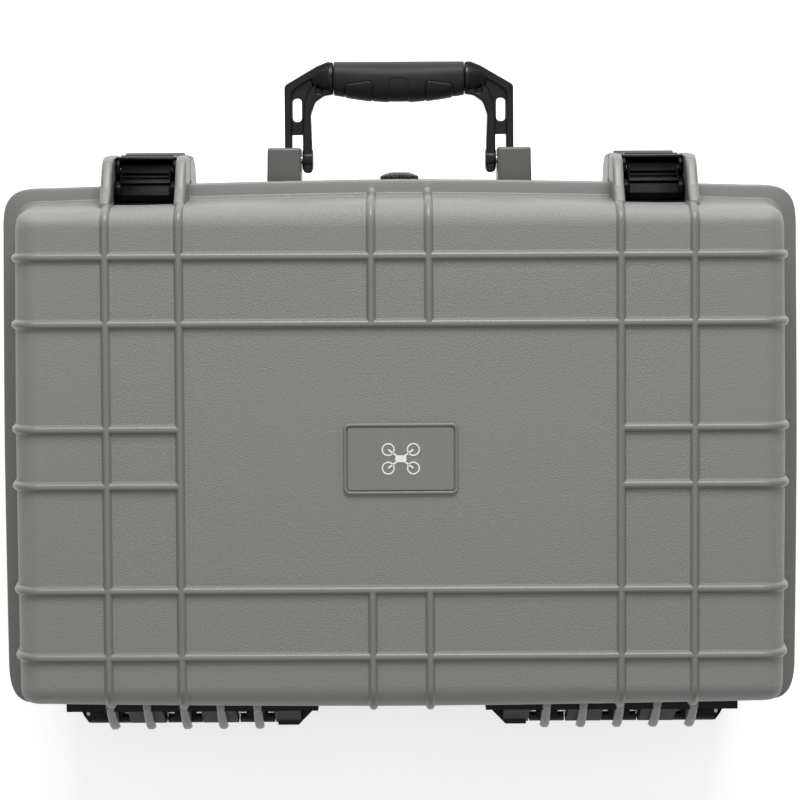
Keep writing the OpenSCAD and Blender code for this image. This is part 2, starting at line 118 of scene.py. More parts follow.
LATCH_GAP = 41.0
GUARD_THICK = 7.0
GUARD_TIP = -193.7
RECESS_HALF = 22.4
RECESS_TOP = 172.0
RECESS_DEPTH = 4.4
FIN_X = [143.0 + 24.1 * step for step in range(-2, 3)]
FIN_THICK = 5.8
FIN_TIP = HINGE_Y + 10
LUG_X = (65.6, 88.4)
LUG_SLOT_X = (71.2, 77.4)
LUG_TIP = -199.3
LUG_BOTTOM = HANDLE_Z - 14
LUG_ROOF = HANDLE_Z + 7.2
# Below zero, this paints the lugs darker than the rest of the shell: painted shade under the brim.
LUG_PAINTED_SHADE = -0.4
LEAF_Y = REAR_EDGE - 5.5
LID_LEAF_TOP = SEAM + 31
LAND_X = (57.0, 216.0)
PAD_HALF = 25.0
PAD_Y = (-161.8, -157.0)
FOOT = (60.0, 40.0)
STEM_RADIUS = 2.9


# ---- Mesh helpers ----

# The least thickness and height that count as more than nothing
FLAT = 0.001


class Solid:
    """Collects patches and plates in millimetres, then becomes one mesh object."""

    def __init__(self):
        self.points = []
        self.faces = []
        self.smooth = []
        self.grain_and_painted_shade = []

    def add(self, points, faces, grain_and_painted_shade=0.0, smooth=None):
        first = len(self.points)
        self.points.extend(tuple(p) for p in points)
        self.faces.extend(tuple(first + i for i in face) for face in faces)
        self.smooth.extend([True] * len(faces) if smooth is None else smooth)
        if np.ndim(grain_and_painted_shade) == 0:
            self.grain_and_painted_shade.extend([float(grain_and_painted_shade)] * len(points))
        else:
            self.grain_and_painted_shade.extend(float(g) for g in grain_and_painted_shade)

    def grid(self, array, grain_and_painted_shade=0.0):
        rows, columns = array.shape[:2]
        faces = []
        for i in range(rows - 1):
            for j in range(columns - 1):
                a = i * columns + j
                faces.append((a, a + 1, a + columns + 1, a + columns))
        flat = grain_and_painted_shade if np.ndim(grain_and_painted_shade) == 0 else np.asarray(grain_and_painted_shade).reshape(-1)
        self.add(array.reshape(-1, 3), faces, flat)

    def make(self, name, sharp=32.0, weld=0.004):
        mesh = bpy.data.meshes.new(name)
        mesh.from_pydata([Vector(p) * MM for p in self.points], [], self.faces)
        # Each point's grain, and on the lugs a value below zero that paints shade.
        layer = mesh.attributes.new("grain_and_painted_shade", "FLOAT", "POINT")
        layer.data.foreach_set("value", self.grain_and_painted_shade)
        mesh.polygons.foreach_set("use_smooth", self.smooth)
        bm = bmesh.new()
        bm.from_mesh(mesh)
        bmesh.ops.remove_doubles(bm, verts=bm.verts, dist=weld * MM)
        bmesh.ops.dissolve_degenerate(bm, dist=weld * MM / 2, edges=bm.edges)
        bmesh.ops.recalc_face_normals(bm, faces=bm.faces)
        limit = math.radians(sharp)
        for edge in bm.edges:
            edge.smooth = len(edge.link_faces) == 2 and edge.calc_face_angle(0) < limit
        bm.to_mesh(mesh)
        bm.free()
        piece = bpy.data.objects.new(name, mesh)
        bpy.context.scene.collection.objects.link(piece)
        return piece


def smooth_step(value):
    """Goes from 0 to 1 with level ends."""
    t = np.clip(value, 0.0, 1.0)
    return t * t * (3 - 2 * t)


def arc(x, y, radius, start, end, steps):
    """Points (x, y) and outward directions along an arc, angles in degrees."""
    angles = np.radians(np.linspace(start, end, steps + 1))
    return [
        (x + radius * math.cos(a), y + radius * math.sin(a), math.cos(a), math.sin(a)) for a in angles
    ]


def rounded(points, radius, steps=5):
    """The outline with every corner rounded; radius is one value or one for each corner."""
    count = len(points)
    radii = [radius] * count if np.ndim(radius) == 0 else list(radius)
    outline = []
    for i, here in enumerate(points):
        here = Vector(here)
        before = Vector(points[i - 1]) - here
        after = Vector(points[(i + 1) % count]) - here
        room = 0.49 * min(before.length, after.length)
        turn = before.angle(after)
        if radii[i] <= 0 or turn > math.pi - 0.02:
            outline.append(tuple(here))
            continue
        reach = min(radii[i] / math.tan(turn / 2), room)
        start = here + before.normalized() * reach
        end = here + after.normalized() * reach
        for k in range(steps + 1):
            t = k / steps
            outline.append(tuple((1 - t) ** 2 * start + 2 * t * (1 - t) * here + t * t * end))
    return outline


def signed_area(points):
    return sum(
        points[i - 1][0] * points[i][1] - points[i][0] * points[i - 1][1] for i in range(len(points))
    )


def evaluated_mesh(holder):
    """A mesh of what the object looks like with its modifiers or its bevel."""
    bpy.context.view_layer.update()
    return bpy.data.meshes.new_from_object(holder.evaluated_get(bpy.context.evaluated_depsgraph_get()))


def filled_mesh(outlines, **settings):
    """Points and faces of a filled curve, its first outline the outside and the others holes."""
    curve = bpy.data.curves.new("outline", "CURVE")
    curve.dimensions = "2D"
    curve.fill_mode = "BOTH"
    for key, value in settings.items():
        setattr(curve, key, value)
    for outline in outlines:
        spline = curve.splines.new("POLY")
        spline.points.add(len(outline) - 1)
        for point, (a, b) in zip(spline.points, outline):
            point.co = (a, b, 0, 1)
        spline.use_cyclic_u = True
    holder = bpy.data.objects.new("outline", curve)
    bpy.context.scene.collection.objects.link(holder)
    mesh = evaluated_mesh(holder)
    points = [tuple(v.co) for v in mesh.vertices]
    faces = [tuple(p.vertices) for p in mesh.polygons]
    bpy.data.objects.remove(holder)
    bpy.data.curves.remove(curve)
    bpy.data.meshes.remove(mesh)
    return points, faces


def plate_mesh(outlines, thick, bevel, segments=2):
    """A flat plate with rounded edges, its outside anticlockwise and its holes clockwise."""
    turned_right = [
        outline[::-1] if (signed_area(outline) < 0) != (number > 0) else outline
        for number, outline in enumerate(outlines)
    ]
    points, faces = filled_mesh(
        turned_right, extrude=max(thick / 2 - bevel, FLAT), bevel_depth=bevel, bevel_resolution=segments,
        offset=-bevel,
    )
    smooth = [min(abs(points[i][2]) for i in face) < thick / 2 - FLAT for face in faces]
    return points, faces, smooth


def stand(solid, outlines, x, thick, bevel, segments=2):
    """Adds a plate with outlines in (y, z), standing across X at x."""
    points, faces, smooth = plate_mesh(outlines, thick, bevel, segments)
    solid.add([(x + c, a, b) for a, b, c in points], faces, 0.0, smooth)


def lay(solid, outlines, z, thick, bevel, grain_and_painted_shade=0.0, segments=2):
    """Adds a plate with outlines in (x, y), lying across Z at z."""
    points, faces, smooth = plate_mesh(outlines, thick, bevel, segments)
    solid.add([(a, b, z + c) for a, b, c in points], faces, grain_and_painted_shade, smooth)


def rectangle(low, high, radius):
    """The outline of a rectangle with rounded corners."""
    return rounded([(low[0], low[1]), (high[0], low[1]), (high[0], high[1]), (low[0], high[1])], radius)


def brick(solid, low, high, bevel, corner):
    """Adds a block with softened edges between two corners."""
    outline = rectangle(low[:2], high[:2], corner)
    lay(solid, [outline], (low[2] + high[2]) / 2, high[2] - low[2], bevel)


def face_outward(piece):
    """Turns a closed mesh's faces outward."""
    bm = bmesh.new()
    bm.from_mesh(piece.data)
    if bm.calc_volume(signed=True) < 0:
        bmesh.ops.reverse_faces(bm, faces=bm.faces)
    bm.to_mesh(piece.data)
    bm.free()
    return piece


def less(block, *cutters):
    """The solid that is left of block when the cutters are taken out of it."""
    whole = face_outward(block.make("block"))
    tools = [face_outward(cutter.make("cutter")) for cutter in cutters]
    for tool in tools:
        modifier = whole.modifiers.new("cut", "BOOLEAN")
        modifier.operation = "DIFFERENCE"
        modifier.solver = "EXACT"
        modifier.object = tool
    mesh = evaluated_mesh(whole)
    left = Solid()
    left.add(
        [tuple(v.co / MM) for v in mesh.vertices], [tuple(f.vertices) for f in mesh.polygons], 0.0,
        [f.use_smooth for f in mesh.polygons],
    )
    for piece in [whole, *tools]:
        bpy.data.meshes.remove(piece.data)
    bpy.data.meshes.remove(mesh)
    return left


def turned(solid, profile, centre, axis, steps):
    """Adds a solid of revolution: profile points (along, radius) round a line through centre."""
    along = Vector(axis).normalized()
    side = along.orthogonal().normalized()
    up = along.cross(side)
    rows = np.zeros((len(profile), steps + 1, 3))
    for i, (distance, radius) in enumerate(profile):
        for k in range(steps + 1):
            a = 2 * math.pi * k / steps
            rows[i, k] = Vector(centre) + along * distance + (side * math.cos(a) + up * math.sin(a)) * radius
    solid.grid(rows)


def rod(solid, low, high, y, z, radius, edge=0.5, steps=32):
    """Adds a rod along X with softened ends."""
    profile = [
        (low, 0), (low, radius - edge), (low + 0.3 * edge, radius - 0.3 * edge), (low + edge, radius),
        (high - edge, radius), (high - 0.3 * edge, radius - 0.3 * edge), (high, radius - edge), (high, 0),
    ]
    turned(solid, profile, (0, y, z), (1, 0, 0), steps)


# ---- The two shells ----

RIB_SHAPE = (
    (0.0, 1.0), (0.6, 0.98), (1.2, 0.91), (1.75, 0.78), (2.2, 0.6),
    (2.6, 0.37), (2.95, 0.12), (3.2, 0.02), (3.5, 0.0), (4.3, 0.0),
)


def grid_lines(ribs, limit, spacing=12.0):
    """Grid lines gathered at each rib's flanks, with even ones between, out to both limits."""
    lines = {-limit, limit}
    for rib in ribs:
        for offset, _ in RIB_SHAPE:
            lines.update((rib - offset, rib + offset, -rib - offset, -rib + offset))
    ordered = sorted(round(v, 4) for v in lines)
    filled = [ordered[0]]
    for value in ordered[1:]:
        gap = value - filled[-1]
        parts = max(1, math.ceil(gap / spacing))
        start = filled[-1]
        filled.extend(start + gap * k / parts for k in range(1, parts + 1))
    return np.array(filled)


def rib_rise(distance):
    """Height of a rib's rounded cross-section at a distance from its middle."""
    offsets, heights = zip(*RIB_SHAPE)
    return RIB_HEIGHT * np.interp(np.abs(distance), offsets, heights)


def rise_x(x, y):
    """Height of the ribs that run from front to rear."""
    x, y = np.abs(x), np.abs(y)
    rise = np.maximum(rib_rise(x - LONG_RIB_X[0]), rib_rise(x - LONG_RIB_X[1]))
    return np.where(y >= LONG_RIB_Y[0], np.maximum(rise, rib_rise(x - MID_RIB_X)), rise)


def rise_y(x, y):
    """Height of the ribs that run from side to side."""
    x, y = np.abs(x), np.abs(y)
    rise = np.maximum(rib_rise(y - LONG_RIB_Y[0]), rib_rise(y - LONG_RIB_Y[1]))
    return np.where(x >= LONG_RIB_X[0], np.maximum(rise, rib_rise(y - MID_RIB_Y)), rise)


def corner_way(angle):
    """The direction from a corner's centre at an angle, longer towards the diagonal."""
    across, along = np.abs(np.cos(angle)), np.abs(np.sin(angle))
    stretch = (across ** CORNER_POWER + along ** CORNER_POWER) ** (-1 / CORNER_POWER)
    return stretch * np.cos(angle), stretch * np.sin(angle)


def end_pull(values, limit):
    """Grows from nothing to 1, or to -1, over the last stretch before a wall meets its corner."""
    return np.sign(values) * (np.abs(values) / limit) ** 20


def crown(amount, distance, half):
    """How far a long edge falls back from its middle."""
    return amount * (np.abs(distance) / half) ** 1.5


def shell_path(sign, outer_z, core_radius):
    """The shell's edge profile from the middle of its face, over the brim and back inside.

    Each row is radius, height, the rib's direction, and how much of the rib it carries.
    sign is 1 for the lid and -1 for the base.
    """
    centre = outer_z - sign * SHOULDER
    brim = SEAM + sign * BRIM_THICK
    rows = [(0, outer_z, 0, sign, 1), (core_radius * 0.5, outer_z, 0, sign, 1)]
    for r, z, dr, dz in arc(core_radius, 0, SHOULDER, 90, 0, 14):
        rows.append((r, centre + sign * z, dr, sign * dz, 1))
    foot = brim + sign * 2.4
    top_radius = core_radius + SHOULDER
    for t in np.linspace(0.04, 1.0, 22):
        radius = top_radius + (WALL_RADIUS - 0.2 - top_radius) * t
        rows.append((radius, centre + (foot - centre) * t, 1, 0, 1))
    for r, z, _, _ in arc(WALL_RADIUS + BRIM_FILLET, 0, BRIM_FILLET, 170, 90, 5):
        rows.append((r, brim + sign * (BRIM_FILLET - z), 1, 0, 1))
    brim_start, brim_end = WALL_RADIUS + BRIM_FILLET, BRIM_RADIUS - BRIM_EDGE
    for r in (24.5, 27.0, 30.0):
        drop = BRIM_DROP * (r - brim_start) / (BRIM_RADIUS - brim_start)
        rows.append((r, brim - sign * drop, 1, 0, (brim_end - r) / (brim_end - WALL_RADIUS)))
    for r, z, _, _ in arc(BRIM_RADIUS - BRIM_EDGE, 0, BRIM_EDGE, 76, 0, 5):
        rows.append((r, brim - sign * (BRIM_EDGE + 0.9 * BRIM_DROP - z), 1, 0, 0))
    seam = SEAM + sign * SEAM_GAP / 2
    rows.append((BRIM_RADIUS, (brim + seam) / 2 - sign, 1, 0, 0))
    for r, z, _, _ in arc(BRIM_RADIUS - LIP_EDGE, 0, LIP_EDGE, 0, -90, 4):
        rows.append((r, seam + sign * (LIP_EDGE + z), 1, 0, 0))
    rows.append((GROOVE[1] + 1.2, seam, 1, 0, 0))
    if sign > 0:
        steps = [(GROOVE[1], 0), (GROOVE[1], GROOVE_DEPTH), (GROOVE[0], GROOVE_DEPTH), (GROOVE[0], 0)]
    else:
        outside, inside = GROOVE[1] - TONGUE_PLAY, GROOVE[0] + TONGUE_PLAY
        steps = [
            (outside, 0), (outside, TONGUE_HEIGHT - 0.4), (outside - 0.4, TONGUE_HEIGHT),
            (inside + 0.4, TONGUE_HEIGHT), (inside, TONGUE_HEIGHT - 0.4), (inside, 0),
        ]
    for r, z in steps:
        rows.append((r, seam + z, 1, 0, 0))
    rows.append((WALL_RADIUS - WALL + 0.5, seam, 1, 0, 0))
    rows.append((WALL_RADIUS - WALL, seam + sign * 0.6, 1, 0, 0))
    for t in (0.3, 0.65, 1.0):
        radius = WALL_RADIUS - WALL + (top_radius - WALL_RADIUS) * t
        rows.append((radius, seam + (centre - seam) * t, 1, 0, 0))
    for r, z, _, _ in arc(core_radius, 0, SHOULDER - WALL, 0, 90, 6)[1:]:
        rows.append((r, centre + sign * z, 0, 1, 0))
    rows.append((0, outer_z - sign * WALL, 0, 1, 0))
    return np.array(rows, float)


def brim_reach(path, reach):
    """Radii with the brim drawn in to reach; the wall and everything inside it stays."""
    radius = path[:, 0]
    share = np.clip((radius - WALL_RADIUS) / (BRIM_RADIUS - WALL_RADIUS), 0, 1)
    return np.where(radius > WALL_RADIUS, WALL_RADIUS + share * (reach - WALL_RADIUS), radius)


def latch_recess(xs, path):
    """How far the lid's front wall steps back behind each latch."""
    across = np.abs(xs)[:, None] - LATCH_X
    beside = smooth_step((RECESS_HALF - np.abs(across)) / 1.4)
    below = smooth_step((RECESS_TOP - path[:, 1]) / 2.0)
    outside = (path[:, 2] > 0) & (path[:, 4] >= 1)
    return RECESS_DEPTH * beside * below * outside


def shell_solid(sign, outer_z, core_radius):
    """The ribbed shell, from a grid laid over its face, its four walls and its four corners."""
    path = shell_path(sign, outer_z, core_radius)
    solid = Solid()
    xs = grid_lines(LONG_RIB_X + (MID_RIB_X,), CORNER_X)
    ys = grid_lines(LONG_RIB_Y + (MID_RIB_Y,), CORNER_Y)
    fall = smooth_step((path[:, 0] - FACE_RADIUS) / SHOULDER)
    grained = (path[:, 4] >= 1).astype(float)

    def add_wall(x, y, rise):
        z = path[:, 1] + rise * path[:, 3] * path[:, 4]
        solid.grid(np.stack([x, y, z], -1), grained * (rise < SMOOTH_RISE))

    for end in SIDES:
        radius = brim_reach(path, REAR_REACH if end > 0 else BRIM_RADIUS)
        rise = rise_x(xs, CORNER_Y)[:, None]
        out = radius + rise * path[:, 2] * path[:, 4]
        if sign > 0 and end < 0:
            out = out - latch_recess(xs, path)
        x = xs[:, None] - fall * SIDE_CROWN * end_pull(xs, CORNER_X)[:, None]
        add_wall(x, end * (CORNER_Y + out - fall * crown(END_CROWN[end], xs, CORNER_X)[:, None]), rise)

    for side in SIDES:
        rise = rise_y(CORNER_X, ys)[:, None]
        out = path[:, 0] + rise * path[:, 2] * path[:, 4]
        end_fall = np.where(ys > 0, END_CROWN[1], END_CROWN[-1]) * end_pull(ys, CORNER_Y)
        x = side * (CORNER_X + out - fall * crown(SIDE_CROWN, ys, CORNER_Y)[:, None])
        add_wall(x, ys[:, None] - fall * end_fall[:, None], rise)

    for side in SIDES:
        for end in SIDES:
            rows = np.zeros((CORNER_STEPS, len(path), 3))
            for k, angle in enumerate(np.linspace(0, math.pi / 2, CORNER_STEPS)):
                reach = BRIM_RADIUS
                if end > 0:
                    reach = math.hypot(BRIM_RADIUS * math.cos(angle), REAR_REACH * math.sin(angle))
                radius = brim_reach(path, reach)
                across, along = corner_way(angle)
                rows[k, :, 0] = side * (CORNER_X + radius * across - fall * SIDE_CROWN)
                rows[k, :, 1] = end * (CORNER_Y + radius * along - fall * END_CROWN[end])
                rows[k, :, 2] = path[:, 1]
            solid.grid(rows, np.repeat(grained[None], CORNER_STEPS, 0))

    x, y = np.meshgrid(xs, ys, indexing="ij")
    rise = np.maximum(rise_x(x, y), rise_y(x, y))
    face = np.stack([x, y, outer_z + sign * rise], -1)
    solid.grid(face, (rise < SMOOTH_RISE).astype(float))
    inside = np.stack([x, y, np.full_like(x, outer_z - sign * WALL)], -1)
    solid.grid(inside)
    return solid


# ---- Materials ----


def new_material(name, colour, roughness):
    material = bpy.data.materials.new(name)
    material.use_nodes = True
    shader = material.node_tree.nodes["Principled BSDF"]
    shader.inputs["Base Color"].default_value = (*colour, 1)
    shader.inputs["Roughness"].default_value = roughness
    place = add_node(material.node_tree, "ShaderNodeTexCoord").outputs["Object"]
    return material, material.node_tree, shader, place


def add_node(tree, kind, inputs=None, **settings):
    node = tree.nodes.new(kind)
    for key, value in settings.items():
        setattr(node, key, value)
    for key, value in (inputs or {}).items():
        if isinstance(value, bpy.types.NodeSocket):
            tree.links.new(value, node.inputs[key])
        else:
            node.inputs[key].default_value = value
    return node


def noise_value(tree, place, scale, detail=2.0):
    node = add_node(tree, "ShaderNodeTexNoise", {"Vector": place, "Scale": scale, "Detail": detail})
    return node.outputs["Fac"]


def mapped(tree, value, low, high, to_low, to_high):
    node = add_node(
        tree, "ShaderNodeMapRange",
        {"Value": value, "From Min": low, "From Max": high, "To Min": to_low, "To Max": to_high},
    )
    return node.outputs["Result"]


def maths(tree, operation, first, second):
    node = add_node(tree, "ShaderNodeMath", {0: first, 1: second}, operation=operation)
    return node.outputs[0]


def varied_colour(tree, shader, value, dark, light):
    """Blends two close colours by value, for the unevenness of a real surface."""
    ramp = add_node(tree, "ShaderNodeValToRGB", {"Fac": value})
    ramp.color_ramp.elements[0].position = 0.3
    ramp.color_ramp.elements[1].position = 0.7
    ramp.color_ramp.elements[0].color = (*dark, 1)
    ramp.color_ramp.elements[1].color = (*light, 1)
    tree.links.new(ramp.outputs["Color"], shader.inputs["Base Color"])
    return ramp.color_ramp


def bumped(tree, shader, height, strength, distance):
    bump = add_node(
        tree, "ShaderNodeBump", {"Height": height, "Strength": strength, "Distance": distance}
    )
    tree.links.new(bump.outputs["Normal"], shader.inputs["Normal"])


def shell_material():
    """Moulded polypropylene: pebble grain on the panels, smoother on ribs and brim, and painted shade darkening
    the lugs.
    """
    material, tree, shader, place = new_material("moulded_grey", (0.21, 0.215, 0.195), 0.5)
    grain_and_painted_shade = add_node(tree, "ShaderNodeAttribute", attribute_name="grain_and_painted_shade").outputs["Fac"]
    pebble = add_node(
        tree, "ShaderNodeTexVoronoi", {"Vector": place, "Scale": 1700.0, "Smoothness": 0.5},
        feature="SMOOTH_F1",
    ).outputs["Distance"]
    fine = noise_value(tree, place, 2600.0)
    cloud = noise_value(tree, place, 9.0, 4.0)
    height = maths(tree, "ADD", maths(tree, "MULTIPLY", pebble, 1.1), maths(tree, "MULTIPLY", fine, 0.5))
    amount = mapped(tree, grain_and_painted_shade, 0.0, 1.0, 0.18, 1.0)
    bumped(tree, shader, maths(tree, "MULTIPLY", height, amount), 0.5, 0.0007)
    shade = maths(tree, "ADD", maths(tree, "MULTIPLY", grain_and_painted_shade, 0.75), maths(tree, "MULTIPLY", cloud, 0.25))
    ramp = varied_colour(tree, shader, shade, (0.150, 0.153, 0.138), (0.198, 0.201, 0.186))
    # The darkest colour, at 0, is painted shade: the lugs' values below zero clamp to it.
    ramp.elements[0].position = 0.06
    ramp.elements.new(0.0).color = (0.075, 0.077, 0.068, 1)
    speckled = mapped(tree, fine, 0.3, 0.7, 0.36, 0.46)
    rough = maths(tree, "ADD", speckled, mapped(tree, grain_and_painted_shade, 0.0, 1.0, -0.04, 0.08))
    tree.links.new(rough, shader.inputs["Roughness"])
    return material


BLACK_GLOSS = 0.22
LATCH_GLOSS = 0.06


def black_material(name, tone, roughness, scale, strength, gloss=BLACK_GLOSS):
    """Black moulding with a fine grain and a little unevenness."""
    material, tree, shader, place = new_material(name, (tone,) * 3, roughness)
    shader.inputs["Specular IOR Level"].default_value = gloss
    fine = noise_value(tree, place, scale, 3.0)
    cloud = noise_value(tree, place, 60.0, 3.0)
    bumped(tree, shader, fine, strength, 0.0004)
    varied_colour(tree, shader, cloud, (tone * 0.75,) * 3, (tone * 1.35,) * 3)
    rough = mapped(tree, fine, 0.3, 0.7, roughness - 0.07, roughness + 0.07)
    tree.links.new(rough, shader.inputs["Roughness"])
    return material


def steel_material():
    """Drawn steel: fine lines along the pin."""
    material, tree, shader, place = new_material("drawn_steel", (0.6, 0.6, 0.61), 0.3)
    shader.inputs["Metallic"].default_value = 1.0
    stretched = add_node(tree, "ShaderNodeMapping", {"Vector": place, "Scale": (40.0, 2600.0, 2600.0)})
    lines = noise_value(tree, stretched.outputs["Vector"], 1.0)
    tree.links.new(mapped(tree, lines, 0.3, 0.7, 0.22, 0.42), shader.inputs["Roughness"])
    bumped(tree, shader, lines, 0.12, 0.0002)
    return material


def foam_material():
    """Open-cell foam: dark, very rough, full of fine pores."""
    material, tree, shader, place = new_material("dark_foam", (0.03, 0.031, 0.034), 0.95)
    cells = add_node(
        tree, "ShaderNodeTexVoronoi", {"Vector": place, "Scale": 900.0}, feature="F1"
    ).outputs["Distance"]
    cloud = noise_value(tree, place, 300.0, 4.0)
    varied_colour(tree, shader, cloud, (0.018, 0.019, 0.021), (0.045, 0.047, 0.051))
    bumped(tree, shader, maths(tree, "ADD", cells, cloud), 0.9, 0.0012)
    shader.inputs["Specular IOR Level"].default_value = 0.2
    return material


def print_material():
    """White pad print, a little uneven."""
    material, tree, shader, place = new_material("white_print", (0.75, 0.75, 0.73), 0.5)
    speckle = noise_value(tree, place, 900.0)
    varied_colour(tree, shader, speckle, (0.62, 0.62, 0.6), (0.8, 0.8, 0.78))
    bumped(tree, shader, speckle, 0.2, 0.0002)
    return material


GREY = shell_material()
BLACK = black_material("black_nylon", 0.006, 0.34, 1500.0, 0.25)
HINGE = black_material("hinge_nylon", 0.006, 0.6, 1500.0, 0.25)
LATCH = black_material("latch_nylon", 0.0022, 0.26, 1500.0, 0.25, LATCH_GLOSS)
RUBBER = black_material("soft_rubber", 0.009, 0.45, 2200.0, 0.45)
SEAL = black_material("seal_rubber", 0.02, 0.6, 1200.0, 0.2)
STEEL = steel_material()
FOAM = foam_material()
WHITE = print_material()


def dress(piece, material, body, slot, *nodes):
    """Gives a finished piece its material and its body and hides the nodes it stands for; slot is not used."""
    piece.data.materials.clear()
    piece.data.materials.append(material)
    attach(piece, body)
    if nodes:
        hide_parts(*nodes)
    return piece


# ---- Shells ----


def guards(solid, outline):
    """One guard on each side of both latches."""
    for side in SIDES:
        for s in SIDES:
            x = side * (LATCH_X + s * (LATCH_GAP + GUARD_THICK) / 2)
            stand(solid, [outline], x, GUARD_THICK, 2.1, segments=3)


def fins(solid, outline):
    """A row of fins over each hinge."""
    for x in FIN_X:
        for side in SIDES:
            stand(solid, [outline], side * x, FIN_THICK, 2.0, segments=3)


def lid_guards(solid):
    z = SEAM
    outline = rounded([
        (-158, z + 10.5), (-172, z + 9.4), (-177.5, z + 0.4), (GUARD_TIP, z + 0.4),
        (GUARD_TIP, z + 20), (GUARD_TIP + 3.2, z + 27), (GUARD_TIP + 9, z + 31.5),
        (GUARD_TIP + 20, z + 37), (-163.5, z + 46), (-158, z + 47),
    ], (1, 1, 1, 1.5, 8, 5, 6, 12, 4, 1))
    guards(solid, outline)


def base_guards(solid):
    z = SEAM
    outline = rounded([
        (-162, z - 10.5), (-172, z - 9.4), (-177.5, z - 0.4), (GUARD_TIP - 1, z - 0.4),
        (GUARD_TIP - 1, z - 29), (GUARD_TIP + 4, z - 39), (-169, z - 53), (-160, z - 57),
    ], (1, 1, 1, 1.5, 8, 6, 5, 1))
    guards(solid, outline)


def lid_fins(solid):
    z = SEAM
    knuckle = [(y, s) for y, s, _, _ in arc(HINGE_Y, z, 7.3, 6, 165, 14)]
    outline = rounded([
        (FIN_TIP, z + 0.8), (FIN_TIP, z + 7), (FIN_TIP - 3, z + 13), (FIN_TIP - 8, z + 20.5),
        (FIN_TIP - 19.5, z + 34), (160.5, z + 40), (160.5, z + 9), (168.5, z + 8),
    ], (0.6, 5, 6, 8, 10, 1, 1, 2))
    outline += reversed(knuckle)
    fins(solid, outline)


def base_fins(solid):
    top = SEAM - 13.2
    outline = rounded([
        (160.5, top - 2), (FIN_TIP - 3, top), (FIN_TIP, top - 3), (FIN_TIP, top - 43),
        (FIN_TIP - 5, top - 55), (160, top - 66),
    ], (1, 1.5, 1.5, 8, 8, 1))
    fins(solid, outline)


def handle_lugs(solid):
    """Lugs under the base's brim, each slotted from below for the handle's outer leg."""
    top = SEAM - BRIM_THICK + 0.5
    outline = rounded([
        (-162, top), (LUG_TIP, top), (LUG_TIP, LUG_BOTTOM + 4), (LUG_TIP + 6, LUG_BOTTOM),
        (-162, LUG_BOTTOM - 6),
    ], (0.5, 2.2, 4, 4, 1))
    block, slot, bore = Solid(), Solid(), Solid()
    middle = (LUG_X[0] + LUG_X[1]) / 2
    points, faces, smooth = plate_mesh([outline], LUG_X[1] - LUG_X[0], 1.5, 3)
    drafted = []
    for a, b, c in points:
        taper = 1 - 0.06 * (-a - 166) / 33 * (c > 0)
        drafted.append((middle + c * taper, a, b))
    block.add(drafted, faces, 0.0, smooth)
    slot_low = (LUG_SLOT_X[0], LUG_TIP - 5, LUG_BOTTOM - 9)
    brick(slot, slot_low, (LUG_SLOT_X[1], HANDLE_Y + 7.2, LUG_ROOF), 0.3, 0.4)
    rod(bore, LUG_X[0] - 3, 86.3, HANDLE_Y, HANDLE_Z, 3.1, 0.1)
    lug = less(block, slot, bore)
    for side in SIDES:
        # The lugs' points carry a value below zero that paints them darker: painted shade.
        solid.add([(side * x, y, z) for x, y, z in lug.points], lug.faces, LUG_PAINTED_SHADE, lug.smooth)


def leaf_lands(solid, z_low, z_high, y_low):
    """Flat lands that the hinge leaves stand on."""
    for side in SIDES:
        low, high = sorted((side * LAND_X[0], side * LAND_X[1]))
        brick(solid, (low, y_low, z_low), (high, LEAF_Y + 0.2, z_high), 0.6, 1.0)


def latch_pads(solid):
    """Flat pads on the lid's wall behind the latches."""
    for side in SIDES:
        low, high = sorted((side * (LATCH_X - PAD_HALF), side * (LATCH_X + PAD_HALF)))
        brick(solid, (low, PAD_Y[0], SEAM + 6), (high, PAD_Y[1], SEAM + 34), 1.0, 1.5)


def name_frame(solid):
    outer = rectangle((PLATE_LOW.x - 2.6, PLATE_LOW.y - 2.6), (PLATE_HIGH.x + 2.6, PLATE_HIGH.y + 2.6), 4.0)
    inner = rectangle((PLATE_LOW.x - 0.6, PLATE_LOW.y - 0.6), (PLATE_HIGH.x + 0.6, PLATE_HIGH.y + 0.6), 2.4)
    lay(solid, [outer, inner], LID_TOP + 0.3, 2.6, 0.7)


def valve_boss(solid):
    face = -CORNER_Y - 24.0
    profile = [(0, 6.2), (0, 13.6), (-0.3, 14.4), (-1.0, 15.0), (-6, 16.0)]
    turned(solid, [(-d, r) for d, r in profile], (0, face, VALVE_Z), (0, 1, 0), 64)


def lid():
    solid = shell_solid(1, LID_TOP, FACE_RADIUS)
    lid_guards(solid)
    lid_fins(solid)
    leaf_lands(solid, SEAM + BRIM_THICK - 1, LID_LEAF_TOP - 0.5, 160.0)
    latch_pads(solid)
    name_frame(solid)
    dress(solid.make("lid_moulding"), GREY, "lid", "shell", "lid_shell")


def base():
    solid = shell_solid(-1, RIB_HEIGHT, FLOOR_RADIUS)
    base_guards(solid)
    base_fins(solid)
    handle_lugs(solid)
    leaf_lands(solid, SEAM - 40, SEAM - BRIM_THICK + 0.5, 161.0)
    valve_boss(solid)
    brick(solid, (-FOOT[0], -FOOT[1], 0), (*FOOT, RIB_HEIGHT + 1), 1.0, 6.0)
    dress(solid.make("base_moulding"), GREY, "base", "shell", "base_shell")


lid()
base()

# ---- Latches ----

LATCH_WIDTH = 40.4
LINK_NECK = 33.2
CHEEK = 3.2
HOOK_TOP = SEAM - BRIM_THICK - 0.4


def side_name(side):
    return "left" if side < 0 else "right"


